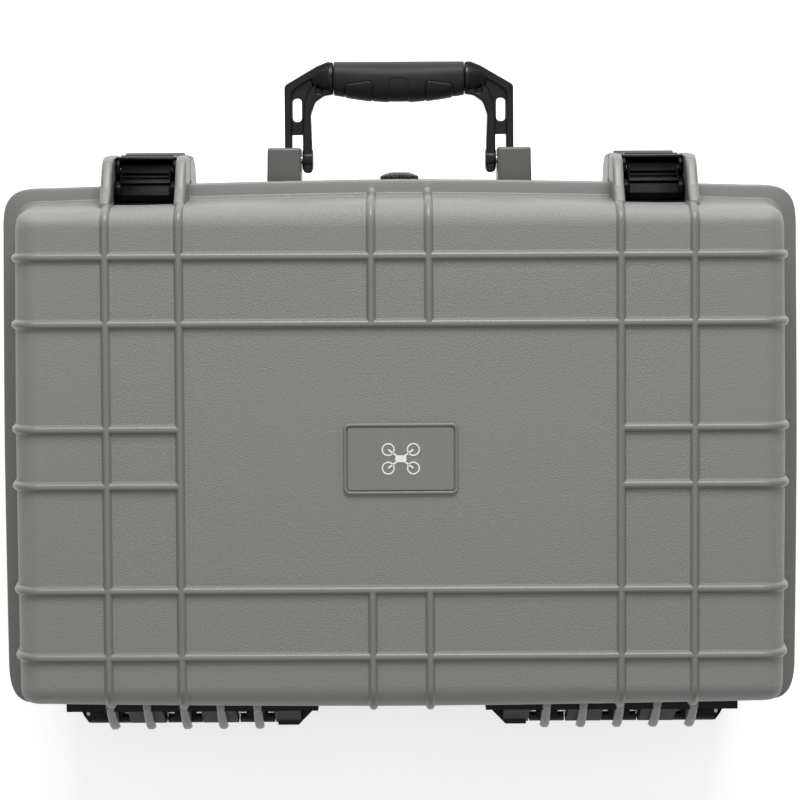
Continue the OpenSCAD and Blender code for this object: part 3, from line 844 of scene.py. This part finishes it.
def latch_link(side):
    """The link swings on the lid and carries the lever's pin."""
    x = side * LATCH_X
    solid = Solid()
    outline = [(y, z) for y, z, _, _ in arc(LINK_Y, LINK_Z, 7.4, -100, 75, 14)]
    outline += rounded([
        (LINK_Y - 4.5, LINK_Z + 7.2), (LEVER_Y + 4.5, LEVER_Z + 10.0), (LEVER_Y + 1.0, LEVER_Z + 6.4),
        (LEVER_Y - 4.6, LEVER_Z + 1.5), (LEVER_Y - 2.5, LEVER_Z - 4.6), (LEVER_Y + 3.4, LEVER_Z - 3.9),
        (LEVER_Y + 6.4, SEAM + BRIM_THICK + 0.9),
    ], (3, 3, 3, 4, 4, 2, 3))
    stand(solid, [outline], x, LINK_NECK, 0.7)
    for s in SIDES:
        low, high = sorted((x + s * LINK_NECK / 2 - s * 1.0, x + s * LATCH_WIDTH / 2))
        rod(solid, low, high, LINK_Y, LINK_Z, 7.3, 0.7, 48)
    for y, z in ((LINK_Y - 9.2, LINK_Z + 3.6), (LINK_Y - 12.2, LINK_Z + 1.4)):
        rod(solid, x - LINK_NECK / 2 + 1.2, x + LINK_NECK / 2 - 1.2, y, z, 1.1, 0.5, 20)
    lip = rounded([
        (LINK_Y + 1.6, LINK_Z + 6), (LINK_Y + 2.0, LINK_Z + 7.9), (LINK_Y + 5.7, LINK_Z + 5.9),
        (LINK_Y + 6.6, LINK_Z + 2),
    ], 0.8)
    stand(solid, [lip], x, LINK_NECK - 0.6, 0.5)
    name = side_name(side)
    piece = solid.make(f"latch_link_body_{name}")
    dress(piece, LATCH, f"link_{name}", "black_plastic", f"latch_link_{name}")


def lever_rib(solid, middle, half, low, high, proud, edge=0.45):
    """A low rib on the lever's face."""
    brick(solid, (middle - half, GUARD_TIP - proud, low), (middle + half, GUARD_TIP + 1, high), edge, edge)


def latch_lever(side):
    """The lever's front plate, its cheeks and the hook that draws the base up to the lid."""
    x = side * LATCH_X
    face = GUARD_TIP
    inner = face + 3
    solid = Solid()
    front = rounded([
        (inner, LEVER_Z + 2), (inner - 0.8, LEVER_Z + 4.4), (face + 0.6, LEVER_Z + 3.4),
        (face, LEVER_Z), (face, 110), (face - 3.4, 98), (face - 3.4, 95.6), (face - 0.8, 95.8),
        (inner, 110), (inner, HOOK_TOP - 8.6), (-178, HOOK_TOP - 7), (-172.6, HOOK_TOP - 4),
        (-172.6, HOOK_TOP), (LEVER_Y + 0.5, HOOK_TOP), (inner, HOOK_TOP + 5),
    ], (0.8, 1, 1.2, 2, 8, 2, 0.9, 0.9, 8, 2, 1, 1, 0.6, 1.5, 2))
    stand(solid, [front], x, LATCH_WIDTH, 0.8)
    cheek = rounded([
        (inner - 1, LEVER_Z + 3.2), (LEVER_Y - 3, LEVER_Z + 5.3), (LEVER_Y + 3, LEVER_Z + 5),
        (LEVER_Y + 5.4, LEVER_Z), (LEVER_Y + 4.8, LEVER_Z - 5), (LEVER_Y + 2.5, HOOK_TOP + 3),
        (LEVER_Y + 0.5, HOOK_TOP - 2), (inner - 1, HOOK_TOP - 2),
    ], (1, 3, 3, 3, 4, 3, 1, 1))
    for s in SIDES:
        stand(solid, [cheek], x + s * (LATCH_WIDTH - CHEEK) / 2, CHEEK, 0.7)
        lever_rib(solid, x + s * 16.2, 1.1, 112, LEVER_Z - 3, 0.9, 0.5)
    for step in range(4):
        lever_rib(solid, x, 12, 113.5 + 3.4 * step, 115.2 + 3.4 * step, 1.0)
    for z in (131, LEVER_Z - 3.5):
        lever_rib(solid, x, 15.3, z - 0.9, z + 0.9, 0.8)
    name = side_name(side)
    piece = solid.make(f"latch_lever_body_{name}")
    dress(piece, LATCH, f"lever_{name}", "black_plastic", f"latch_lever_{name}")


def pin(name, node, body, low, high, y, z, radius):
    """A drawn pin with rounded ends and a knurled band that grips its bore at one end."""
    solid = Solid()
    edge = 0.35 * radius
    span = high - low
    knurl = 0.06 * span
    rod(solid, low, high, y, z, radius * 0.985, edge, 40)
    start = high - 2.2 * knurl if high > 0 else low + 1.2 * knurl
    ridges = 20
    rows = np.zeros((2, 2 * ridges + 1, 3))
    for i in range(2 * ridges + 1):
        a = math.pi * i / ridges
        r = radius * (1.0 if i % 2 else 0.96)
        for k in (0, 1):
            rows[k, i] = (start + k * knurl, y + r * math.cos(a), z + r * math.sin(a))
    solid.grid(rows)
    dress(solid.make(name), STEEL, body, "steel", node)


def pins():
    for side in SIDES:
        name = side_name(side)
        for kind, body in (
            ("hinge_pin", "base"), ("latch_pivot_pin", "lid"), ("latch_lever_pin", f"lever_{name}"),
            ("handle_pin", "base"),
        ):
            node = f"{kind}_{name}"
            low, high = box_mm(node)
            middle = (low + high) / 2
            pin(f"{kind}_rod_{name}", node, body, low.x, high.x, middle.y, middle.z, (high.z - low.z) / 2)


# ---- Handle ----

ARM_HALF = 6.0
WEB_HALF = 3.4
LEG_IN = (58.1, 64.4)
LEG_OUT = (71.6, 76.5)
HANDLE_TOP = box_mm("handle_frame")[0].y
GRIP_LOW, GRIP_HIGH = box_mm("handle_grip")
GRIP_HALF = GRIP_HIGH.x
GRIP_MIDDLE = (GRIP_HIGH.y - GRIP_LOW.y) / 2
GRIP_END = 11.3


def arm_parts():
    """The arm's outlines in (x, y) for the right side: outer flange, inner flange and web."""
    y = HANDLE_Y
    outer = rounded([
        (LEG_OUT[0], y - 6.2), (LEG_OUT[0], y - 45.2), (66.0, y - 49.5), (53.5, y - 56.5),
        (44.1, y - 59.5), (44.1, HANDLE_TOP + 0.6), (47.5, HANDLE_TOP + 0.2), (54.5, HANDLE_TOP + 3.0),
        (LEG_OUT[1], y - 49.6), (LEG_OUT[1], y),
        (LEG_OUT[1], y + 5), (LEG_OUT[0], y + 5),
    ], (1, 4, 3, 6, 0.5, 0.8, 3, 5, 3.5, 1, 2.4, 2.4))
    inner = rounded([
        (LEG_IN[0], y + 8.9), (LEG_IN[1], y + 8.9), (LEG_IN[1], y - 24), (63.4, y - 38),
        (60.0, y - 47), (54, y - 54), (44.1, y - 57), (44.1, y - 43.6), (50, y - 42.6),
        (56.0, y - 38.5), (59.0, y - 30.0), (58.3, y - 10),
    ], (3.1, 3.1, 8, 8, 6, 6, 0.5, 0.8, 6, 6, 8, 12))
    web = rounded([
        (60, y - 16.6), (75, y - 16.6), (75, y - 47), (66, y - 53.5), (53, y - 61.5), (45, y - 63.5),
        (45, y - 46), (58, y - 40),
    ], (0.5, 0.5, 2, 4, 4, 0.5, 0.5, 4))
    window = rectangle((65.0, y - 41.0), (71.2, y - 25.4), 3.05)
    slot = rectangle((51.0, y - 53.6), (55.3, y - 44.2), 2.1)
    return outer, inner, web, window, slot


def mirrored(outline):
    return [(-x, y) for x, y in outline]


def handle_frame():
    solid = Solid()
    for side in SIDES:
        outer, inner, web, window, slot = [
            part if side > 0 else mirrored(part) for part in arm_parts()
        ]
        lay(solid, [outer], HANDLE_Z, 2 * ARM_HALF, 1.1, segments=3)
        lay(solid, [inner, slot], HANDLE_Z, 2 * ARM_HALF, 1.1, segments=3)
        lay(solid, [web, window], HANDLE_Z, 2 * WEB_HALF, 0.6)
        start, end = sorted((side * (LEG_IN[0] - 0.4), side * (LEG_IN[1] + 0.4)))
        rod(solid, start, end, HANDLE_Y, HANDLE_Z, 7.0, 0.8, 48)
        middle = HANDLE_TOP + GRIP_END
        collar = [
            (44.0, 0), (44.0, 10.0), (44.6, 10.9), (46.4, 10.9), (47.0, 10.2), (50.0, 9.4), (54.0, 7.6),
            (58.0, 5.6), (60.0, 0),
        ]
        turned(solid, [(side * d, r) for d, r in collar], (0, middle, HANDLE_Z), (1, 0, 0), 64)
    rod(solid, -44.3, 44.3, HANDLE_TOP + GRIP_END, HANDLE_Z, 6.8, 0.5)
    dress(solid.make("handle_arms"), BLACK, "handle", "black_plastic", "handle_frame")


def grip_radius(x):
    share = np.clip(np.abs(x) / GRIP_HALF, 0, 1)
    return GRIP_END + (GRIP_MIDDLE - GRIP_END) * np.cos(share * math.pi / 2) ** 1.1


PANELS = ((-36.0, -17.8, 88.0), (-6.4, 6.4, 97.0), (17.8, 36.0, 88.0))


def grip_relief(x, angle):
    """How far the grip's skin stands out: each finger panel is outlined by a groove."""
    rise = np.zeros(np.broadcast(x, angle).shape)
    for start, end, reach in PANELS:
        middle, half = (start + end) / 2, (end - start) / 2
        outward = np.clip((np.abs(x) - 20) / 16, 0, 1) if middle else 0
        reach_here = reach - 16 * outward
        across = np.abs(x - middle) - half
        along = (np.abs(angle) - reach_here) * 0.21
        edge = np.where(
            (across > -3) & (along > -3), np.hypot(across + 3, along + 3) - 3, np.maximum(across, along)
        )
        rise = rise - 0.55 * np.exp(-((edge / 0.42) ** 2))
        level = -0.55 if middle == 0 else 0.35
        rise = rise + level * smooth_step(-edge / 0.8)
    return rise


def handle_grip():
    """Rubber moulded over the handle's core, flat along its back and swelling towards the fingers."""
    solid = Solid()
    xs = np.linspace(-GRIP_HALF + 0.3, GRIP_HALF - 0.3, 177)
    angles = np.linspace(-180, 180, 161)
    x, angle = np.meshgrid(xs, angles, indexing="ij")
    end = np.clip((GRIP_HALF - np.abs(x)) / 1.6, 0, 1)
    radius = grip_radius(x) - 0.9 * (1 - np.sqrt(1 - (1 - end) ** 2)) + grip_relief(x, angle)
    turn = np.radians(angle)
    squarish = 1 + 0.035 * (1 - np.cos(4 * turn)) / 2
    middle = HANDLE_TOP + grip_radius(x)
    rows = np.stack(
        [x, middle + radius * np.cos(turn), HANDLE_Z + radius * np.sin(turn) * squarish * 0.97], -1
    )
    solid.grid(rows)
    for row in (rows[0], rows[-1]):
        centre = row.mean(0)
        cap = np.stack([row, centre + (row - centre) * 0.55])
        solid.grid(cap)
    dress(solid.make("handle_grip_sleeve"), RUBBER, "handle", "grip_rubber", "handle_grip")


# ---- Purge valve ----


def valve():
    low, high = box_mm("valve_knob")
    face = low.y
    radius = (high.x - low.x) / 2
    back = -CORNER_Y - 28.5
    solid = Solid()
    ridges = 48
    steps = 4 * ridges
    profile = (
        (back, 4.0, 0), (back, radius - 1.2, 0), (back - 0.4, radius - 0.5, 0.5), (back - 0.9, radius, 1),
        (face + 3.3, radius, 1), (face + 2.5, radius - 0.5, 0.8), (face + 1.9, radius - 1.6, 0.2),
        (face + 1.2, radius - 3.2, 0), (face + 0.5, radius - 5.0, 0), (face, radius - 8, 0), (face, 0, 0),
    )
    rows = np.zeros((len(profile), steps + 1, 3))
    for i, (y, r, ridge) in enumerate(profile):
        for k in range(steps + 1):
            a = 2 * math.pi * k / steps
            wave = 0.7 * ridge * (0.5 + 0.5 * math.cos(ridges / 2 * a)) ** 2
            rows[i, k] = ((r - wave) * math.cos(a), y, VALVE_Z + (r - wave) * math.sin(a))
    solid.grid(rows)
    brick(solid, (-7.0, face, VALVE_Z - 1.2), (7.0, face + 1.5, VALVE_Z + 1.2), 0.4, 0.6)
    stem = [(0, 0), (0, STEM_RADIUS), (-18, STEM_RADIUS), (-18.6, STEM_RADIUS - 0.5), (-18.6, 0)]
    turned(solid, stem, (0, back, VALVE_Z), (0, -1, 0), 24)
    dress(solid.make("valve_cap"), BLACK, "valve", "black_plastic", "valve_knob")

    thread = [(-0.6 - 0.5 * i, 5.8 if i % 2 else 5.2) for i in range(33)]
    housing = [(3.4, 3.2), (3.4, 10.8), (2.8, 11.8), (1.6, 12.3), (0, 12.3), (0, 5.8), *thread]
    housing += [(-17.6, 4.6), (-17.8, 3.2)]
    washer = [(0.05, 6.2), (0.05, 10.6), (0.35, 11.0), (0.65, 10.6), (0.65, 6.2), (0.05, 6.2)]
    for name, node, profile, y, material, slot in (
        ("valve_housing", "valve_body", housing, -CORNER_Y - 24.8, BLACK, "black_plastic"),
        ("valve_washer", "valve_seal", washer, -CORNER_Y - 24.05, SEAL, "seal"),
    ):
        solid = Solid()
        turned(solid, profile, (0, y, VALVE_Z), (0, -1, 0), 48)
        dress(solid.make(name), material, "base", slot, node)

    nut = Solid()
    hexagon = [(9.9 * math.cos(math.pi * i / 3), 9.9 * math.sin(math.pi * i / 3)) for i in range(6)]
    bore = [(6.0 * math.cos(math.pi * i / 16), 6.0 * math.sin(math.pi * i / 16)) for i in range(32)]
    points, faces, smooth = plate_mesh([rounded(hexagon, 0.8), bore], 4.9, 0.5)
    nut.add([(a, -CORNER_Y - 13.5 + c, VALVE_Z + b) for a, b, c in points], faces, 0.0, smooth)
    dress(nut.make("valve_locknut"), BLACK, "base", "black_plastic", "valve_nut")


# ---- Seal and name plate ----


def wrap_places(xs, ys, steps=12):
    """Places and outward directions round the corner centres, the first one repeated at the end."""
    places = []
    for quarter, (side, end) in enumerate(((1, 1), (-1, 1), (-1, -1), (1, -1))):
        for angle in np.radians(np.linspace(90 * quarter, 90 * quarter + 90, steps + 1)):
            places.append((side * CORNER_X, end * CORNER_Y, *corner_way(angle)))
        if quarter % 2 == 0:
            places += [(-end * x, end * CORNER_Y, 0.0, float(end)) for x in xs[1:-1]]
        else:
            places += [(side * CORNER_X, side * y, float(side), 0.0) for y in ys[1:-1]]
    return places + places[:1]


def wrap(solid, around, path, sway=0.0):
    """Carries a profile of radius and height round the case; sway lets its radius wander."""
    path = np.array(path, float)
    rows = np.zeros((len(around), len(path), 3))
    for k, (x, y, dx, dy) in enumerate(around):
        radius = path[:, 0] + sway * math.sin(0.11 * x) * math.cos(0.13 * y)
        rows[k, :, 0] = x + dx * radius
        rows[k, :, 1] = y + dy * radius
        rows[k, :, 2] = path[:, 1]
    solid.grid(rows)
    return rows


def gasket():
    solid = Solid()
    low = SEAM + TONGUE_HEIGHT + 0.1
    inside, outside = GROOVE[0] + 0.1, GROOVE[1] - 0.1
    profile = rounded(
        [(inside, low), (outside, low), (outside, SEAM + 4.9), (inside, SEAM + 4.9)], (1.2, 1.2, 0.3, 0.3)
    )
    around = wrap_places(np.linspace(-CORNER_X, CORNER_X, 25), np.linspace(-CORNER_Y, CORNER_Y, 17))
    wrap(solid, around, profile + profile[:1])
    dress(solid.make("lid_gasket_cord"), SEAL, "lid", "seal", "lid_gasket")


def name_plate():
    """A plate with a small raised drone on it: four rotor rings on crossed arms."""
    solid = Solid()
    top = PLATE_HIGH.z
    middle = (PLATE_LOW + PLATE_HIGH) / 2
    outline = rectangle((PLATE_LOW.x + 0.1, PLATE_LOW.y + 0.1), (PLATE_HIGH.x - 0.1, PLATE_HIGH.y - 0.1), 2.2)
    lay(solid, [outline], middle.z, top - PLATE_LOW.z, 0.3, 0.3)
    dress(solid.make("name_plate_panel"), GREY, "lid", "plate", "name_plate")

    mark = Solid()
    reach = 7.0
    height = 0.3
    for sx in SIDES:
        for sy in SIDES:
            x, y = middle.x + sx * reach * 1.15, middle.y + sy * reach * 0.85
            rings = [
                [(x + radius * c, y + radius * s) for _, _, c, s in arc(0, 0, 1, 0, 352.5, 47)]
                for radius in (4.2, 3.3)
            ]
            lay(mark, rings, top, 2 * height, 0.12)
            along = Vector((x - middle.x, y - middle.y)).normalized()
            across = Vector((-along.y, along.x)) * 0.55
            start, end = Vector(middle[:2]), Vector((x, y))
            arm = [start + across, end + across, end - across, start - across]
            lay(mark, [rounded([tuple(v) for v in arm], 0.3)], top, 2 * height, 0.12)
    body = rectangle((middle.x - 3.6, middle.y - 2.2), (middle.x + 3.6, middle.y + 2.2), 1.8)
    lay(mark, [body], top, 2 * height + 0.1, 0.15)
    dress(mark.make("name_plate_mark"), WHITE, "lid", "plate")


for side in SIDES:
    latch_link(side)
    latch_lever(side)
pins()
handle_frame()
handle_grip()
valve()
gasket()
name_plate()

# ---- Foam ----

PLUCK = 15.0
TRAY_LOW, TRAY_HIGH = box_mm("base_foam_tray")
LID_FOAM_LOW, LID_FOAM_HIGH = box_mm("lid_foam")
PAD_LOW, PAD_HIGH = box_mm("base_foam_pad")
TRAY_RADIUS = TRAY_HIGH.x - CORNER_X
TRAY_CELLS = (15, 9)
DEEP = 76.0
SHALLOW = 60.0
# First column and row, columns, rows and depth of each pocket, in pluck cubes
POCKETS = [
    (-14, -3, 15, 9, DEEP), (-12, -4, 11, 11, SHALLOW), (-14, -9, 15, 4, SHALLOW), (3, -9, 11, 9, SHALLOW),
]
POCKETS += [(3 + 4 * step, 2, 3, 6, DEEP) for step in range(3)]
CUT = 1.3


def foam_block(solid, low, high, radius_low, radius_high, edge=2.0):
    """The sides and rounded rims of a block whose top and bottom are added apart."""
    path = [(radius_low - 3 * edge, low)]
    path += [(r, z) for r, z, _, _ in arc(radius_low - edge, low + edge, edge, -90, 0, 4)]
    for t in (0.33, 0.66):
        path.append((radius_low + (radius_high - radius_low) * t, low + edge + (high - low - 2 * edge) * t))
    path += [(r, z) for r, z, _, _ in arc(radius_high - edge, high - edge, edge, 0, 90, 4)]
    path += [(radius_high - 3 * edge, high)]
    around = wrap_places(np.linspace(-CORNER_X, CORNER_X, 61), np.linspace(-CORNER_Y, CORNER_Y, 39), 8)
    rows = wrap(solid, around, path, sway=0.25)
    for at, z in ((0, low), (-1, high)):
        rim = [tuple(rows[k, at, :2]) for k in range(len(around) - 1)]
        yield rim, z


def flat_face(solid, rim, z):
    """A flat face inside the rim."""
    solid.add([(x, y, z) for x, y in rim], [tuple(range(len(rim)))], 0.0)


def lid_foam():
    """Convoluted foam glued inside the lid, its bumps towards the base."""
    solid = Solid()
    low, high = LID_FOAM_LOW.z, LID_FOAM_HIGH.z
    radius = LID_FOAM_HIGH.x - CORNER_X
    bump = 9.0
    mean = low + bump
    rims = list(foam_block(solid, mean, high, radius, radius - 7.5, 2.0))
    flat_face(solid, *rims[1])
    pitch = 27.0
    xs = np.linspace(-CORNER_X, CORNER_X, 138)
    ys = np.linspace(-CORNER_Y, CORNER_Y, 88)
    x, y = np.meshgrid(xs, ys, indexing="ij")
    wave = np.sin(2 * math.pi * x / pitch) * np.cos(2 * math.pi * y / pitch)
    inset = np.minimum(CORNER_X - np.abs(x), CORNER_Y - np.abs(y))
    fade = smooth_step(inset / 9.0)
    rows = np.stack([x, y, mean - bump * fade * (0.95 * np.sign(wave) * np.abs(wave) ** 0.8)], -1)
    solid.grid(rows)
    wrap(solid, wrap_places(xs, ys, 8), [(0.0, mean), (radius - 6.0, mean)])
    piece = solid.make("lid_foam_convoluted", sharp=60)
    dress(piece, FOAM, "lid", "foam", "lid_foam")


def tray_depths():
    """Depth of every pluck cube's place in the tray."""
    depths = np.zeros((2 * TRAY_CELLS[0], 2 * TRAY_CELLS[1]))
    for column, row, columns, rows, depth in POCKETS:
        i, j = column + TRAY_CELLS[0], row + TRAY_CELLS[1]
        block = depths[i:i + columns, j:j + rows]
        np.maximum(block, depth, out=block)
    return depths


def tray_wall(solid, start, end, low, high, outward):
    """One cube's side standing in a pocket, a little proud between its cuts."""
    start, end = Vector(start), Vector(end)
    steps = 4
    levels = np.append(np.arange(high, low, -PLUCK), low)
    rows = np.zeros((steps + 1, len(levels), 3))
    for i in range(steps + 1):
        t = i / steps
        belly = 0.55 * math.sin(math.pi * t) ** 0.5 if 0 < t < 1 else 0.0
        place = start + (end - start) * t
        for k, z in enumerate(levels):
            sway = 0.35 * math.sin(0.7 * place.x + 0.5 * place.y + 0.9 * k)
            swell = belly * (1 + sway) if 0 < k < len(levels) - 1 else 0.0
            rows[i, k] = (place.x + outward[0] * swell, place.y + outward[1] * swell, z)
    solid.grid(rows)


def foam_tray():
    """The tray: a block scored into cubes, with the cubes of each pocket pulled out."""
    solid = Solid()
    top = TRAY_HIGH.z
    rims = list(foam_block(solid, TRAY_LOW.z, top, TRAY_RADIUS, TRAY_RADIUS, 2.5))
    flat_face(solid, *rims[0])
    depths = tray_depths()
    columns, rows = depths.shape
    offsets = np.array((0.0, 0.45, 1.6, PLUCK / 2, PLUCK - 1.6, PLUCK - 0.45, PLUCK))
    dips = (CUT, 0.45, 0.08, 0.0, 0.08, 0.45, CUT)
    dip = np.maximum.outer(dips, dips)
    for i in range(columns):
        for j in range(rows):
            x, y = (i - TRAY_CELLS[0]) * PLUCK, (j - TRAY_CELLS[1]) * PLUCK
            level = top - depths[i, j]
            if depths[i, j] == 0:
                lift = 0.5 * math.sin(1.7 * i + 2.3 * j)
            else:
                lift = 0.3 * math.sin(2.9 * i + 1.3 * j)
            heights = level - dip + (dip < CUT) * lift * 0.5
            solid.grid(np.stack([*np.meshgrid(x + offsets, y + offsets, indexing="ij"), heights], -1))
            for di, dj in ((1, 0), (-1, 0), (0, 1), (0, -1)):
                ni, nj = i + di, j + dj
                beside = depths[ni, nj] if 0 <= ni < columns and 0 <= nj < rows else 0.0
                if beside < depths[i, j]:
                    start = (x + PLUCK * (di > 0), y + PLUCK * (dj > 0))
                    end = (start[0] + PLUCK * (di == 0), start[1] + PLUCK * (dj == 0))
                    tray_wall(solid, start, end, level - CUT, top - beside - CUT, (-di, -dj))
    border_x, border_y = columns * PLUCK / 2, rows * PLUCK / 2
    rim, z = rims[1]
    hole = rectangle((-border_x, -border_y), (border_x, border_y), 0.0)
    points, faces = filled_mesh([rim, hole])
    solid.add([(x, y, z) for x, y, _ in points], faces)
    for k, start in enumerate(hole):
        end = hole[(k + 1) % len(hole)]
        lip = np.array([[(*start, z), (*start, z - CUT)], [(*end, z), (*end, z - CUT)]])
        solid.grid(lip)
    piece = solid.make("base_foam_pluck_tray", sharp=50)
    dress(piece, FOAM, "base", "foam", "base_foam_tray")


def foam_pad():
    solid = Solid()
    rims = list(foam_block(solid, PAD_LOW.z, PAD_HIGH.z, FLOOR_RADIUS + 6.5, PAD_HIGH.x - CORNER_X, 2.0))
    for rim, z in rims:
        flat_face(solid, rim, z)
    piece = solid.make("base_foam_floor_pad", sharp=60)
    dress(piece, FOAM, "base", "foam", "base_foam_pad")


lid_foam()
foam_tray()
foam_pad()

# ---- Hinge leaves: the CAD nodes that keep their shape ----

for row in frame["record"]["subparts"]:
    node = frame["nodes"][row["node"]]
    if row["material_slot"] == "black_plastic" and not node.hide_render:
        node.data.materials.clear()
        node.data.materials.append(HINGE)
        edge = node.modifiers.new("edge", "BEVEL")
        edge.width = 0.5 * MM
        edge.segments = 2
        edge.limit_method = "ANGLE"
        edge.angle_limit = math.radians(35)

# ---- Stage, lights and camera ----

FLOOR_SIZE = 6.0
FLOOR_Z = -0.0004
CAMERA_DISTANCE = 1.5
CAMERA_FOOT_Y = -0.1644
CAMERA_PITCH = 2.7
CAMERA_ROLL = -0.3
CAMERA_LENS = 101.8
CAMERA_SHIFT = -0.117


def floor():
    bpy.ops.mesh.primitive_grid_add(x_subdivisions=8, y_subdivisions=8, size=FLOOR_SIZE)
    ground = bpy.context.object
    ground.name = "floor"
    ground.location.z = FLOOR_Z
    material, tree, shader, place = new_material("pale_floor", (0.9, 0.9, 0.9), 0.8)
    varied_colour(tree, shader, noise_value(tree, place, 3.0), (0.88, 0.88, 0.88), (0.91, 0.91, 0.91))
    shader.inputs["Emission Color"].default_value = (1, 1, 1, 1)
    shader.inputs["Emission Strength"].default_value = 0.45
    ground.data.materials.append(material)


def area_light(name, place, target, size, watts):
    data = bpy.data.lights.new(name, "AREA")
    data.shape = "RECTANGLE"
    data.size, data.size_y = size
    data.energy = watts
    lamp = bpy.data.objects.new(name, data)
    lamp.location = place
    lamp.rotation_euler = (Vector(target) - Vector(place)).to_track_quat("-Z", "Y").to_euler()
    bpy.context.scene.collection.objects.link(lamp)


def camera():
    data = bpy.data.cameras.new("camera")
    data.lens = CAMERA_LENS
    data.shift_y = CAMERA_SHIFT
    data.clip_start, data.clip_end = 0.05, 20.0
    eye = bpy.data.objects.new("camera", data)
    pitch, roll = math.radians(CAMERA_PITCH), math.radians(CAMERA_ROLL)
    look = Vector((0, math.sin(pitch), -math.cos(pitch)))
    right = Vector((-1, 0, 0))
    up = right.cross(look)
    turn = Matrix((right, up, -look)).transposed().to_4x4()
    place = Matrix.Translation((0, CAMERA_FOOT_Y, SEAM * MM + CAMERA_DISTANCE))
    eye.matrix_world = place @ turn @ Matrix.Rotation(roll, 4, "Z")
    bpy.context.scene.collection.objects.link(eye)
    bpy.context.scene.camera = eye


floor()
area_light("key", (-0.1, -2.1, 1.25), (0, -0.05, 0.15), (1.3, 1.0), 66)
area_light("overhead", (0, 0.1, 2.6), (0, 0, 0.1), (2.2, 2.2), 14)
world = bpy.data.worlds.new("world")
world.use_nodes = True
world.node_tree.nodes["Background"].inputs["Color"].default_value = (1, 1, 1, 1)
world.node_tree.nodes["Background"].inputs["Strength"].default_value = 0.38
bpy.context.scene.world = world
bpy.context.scene.view_settings.view_transform = "Standard"
camera()
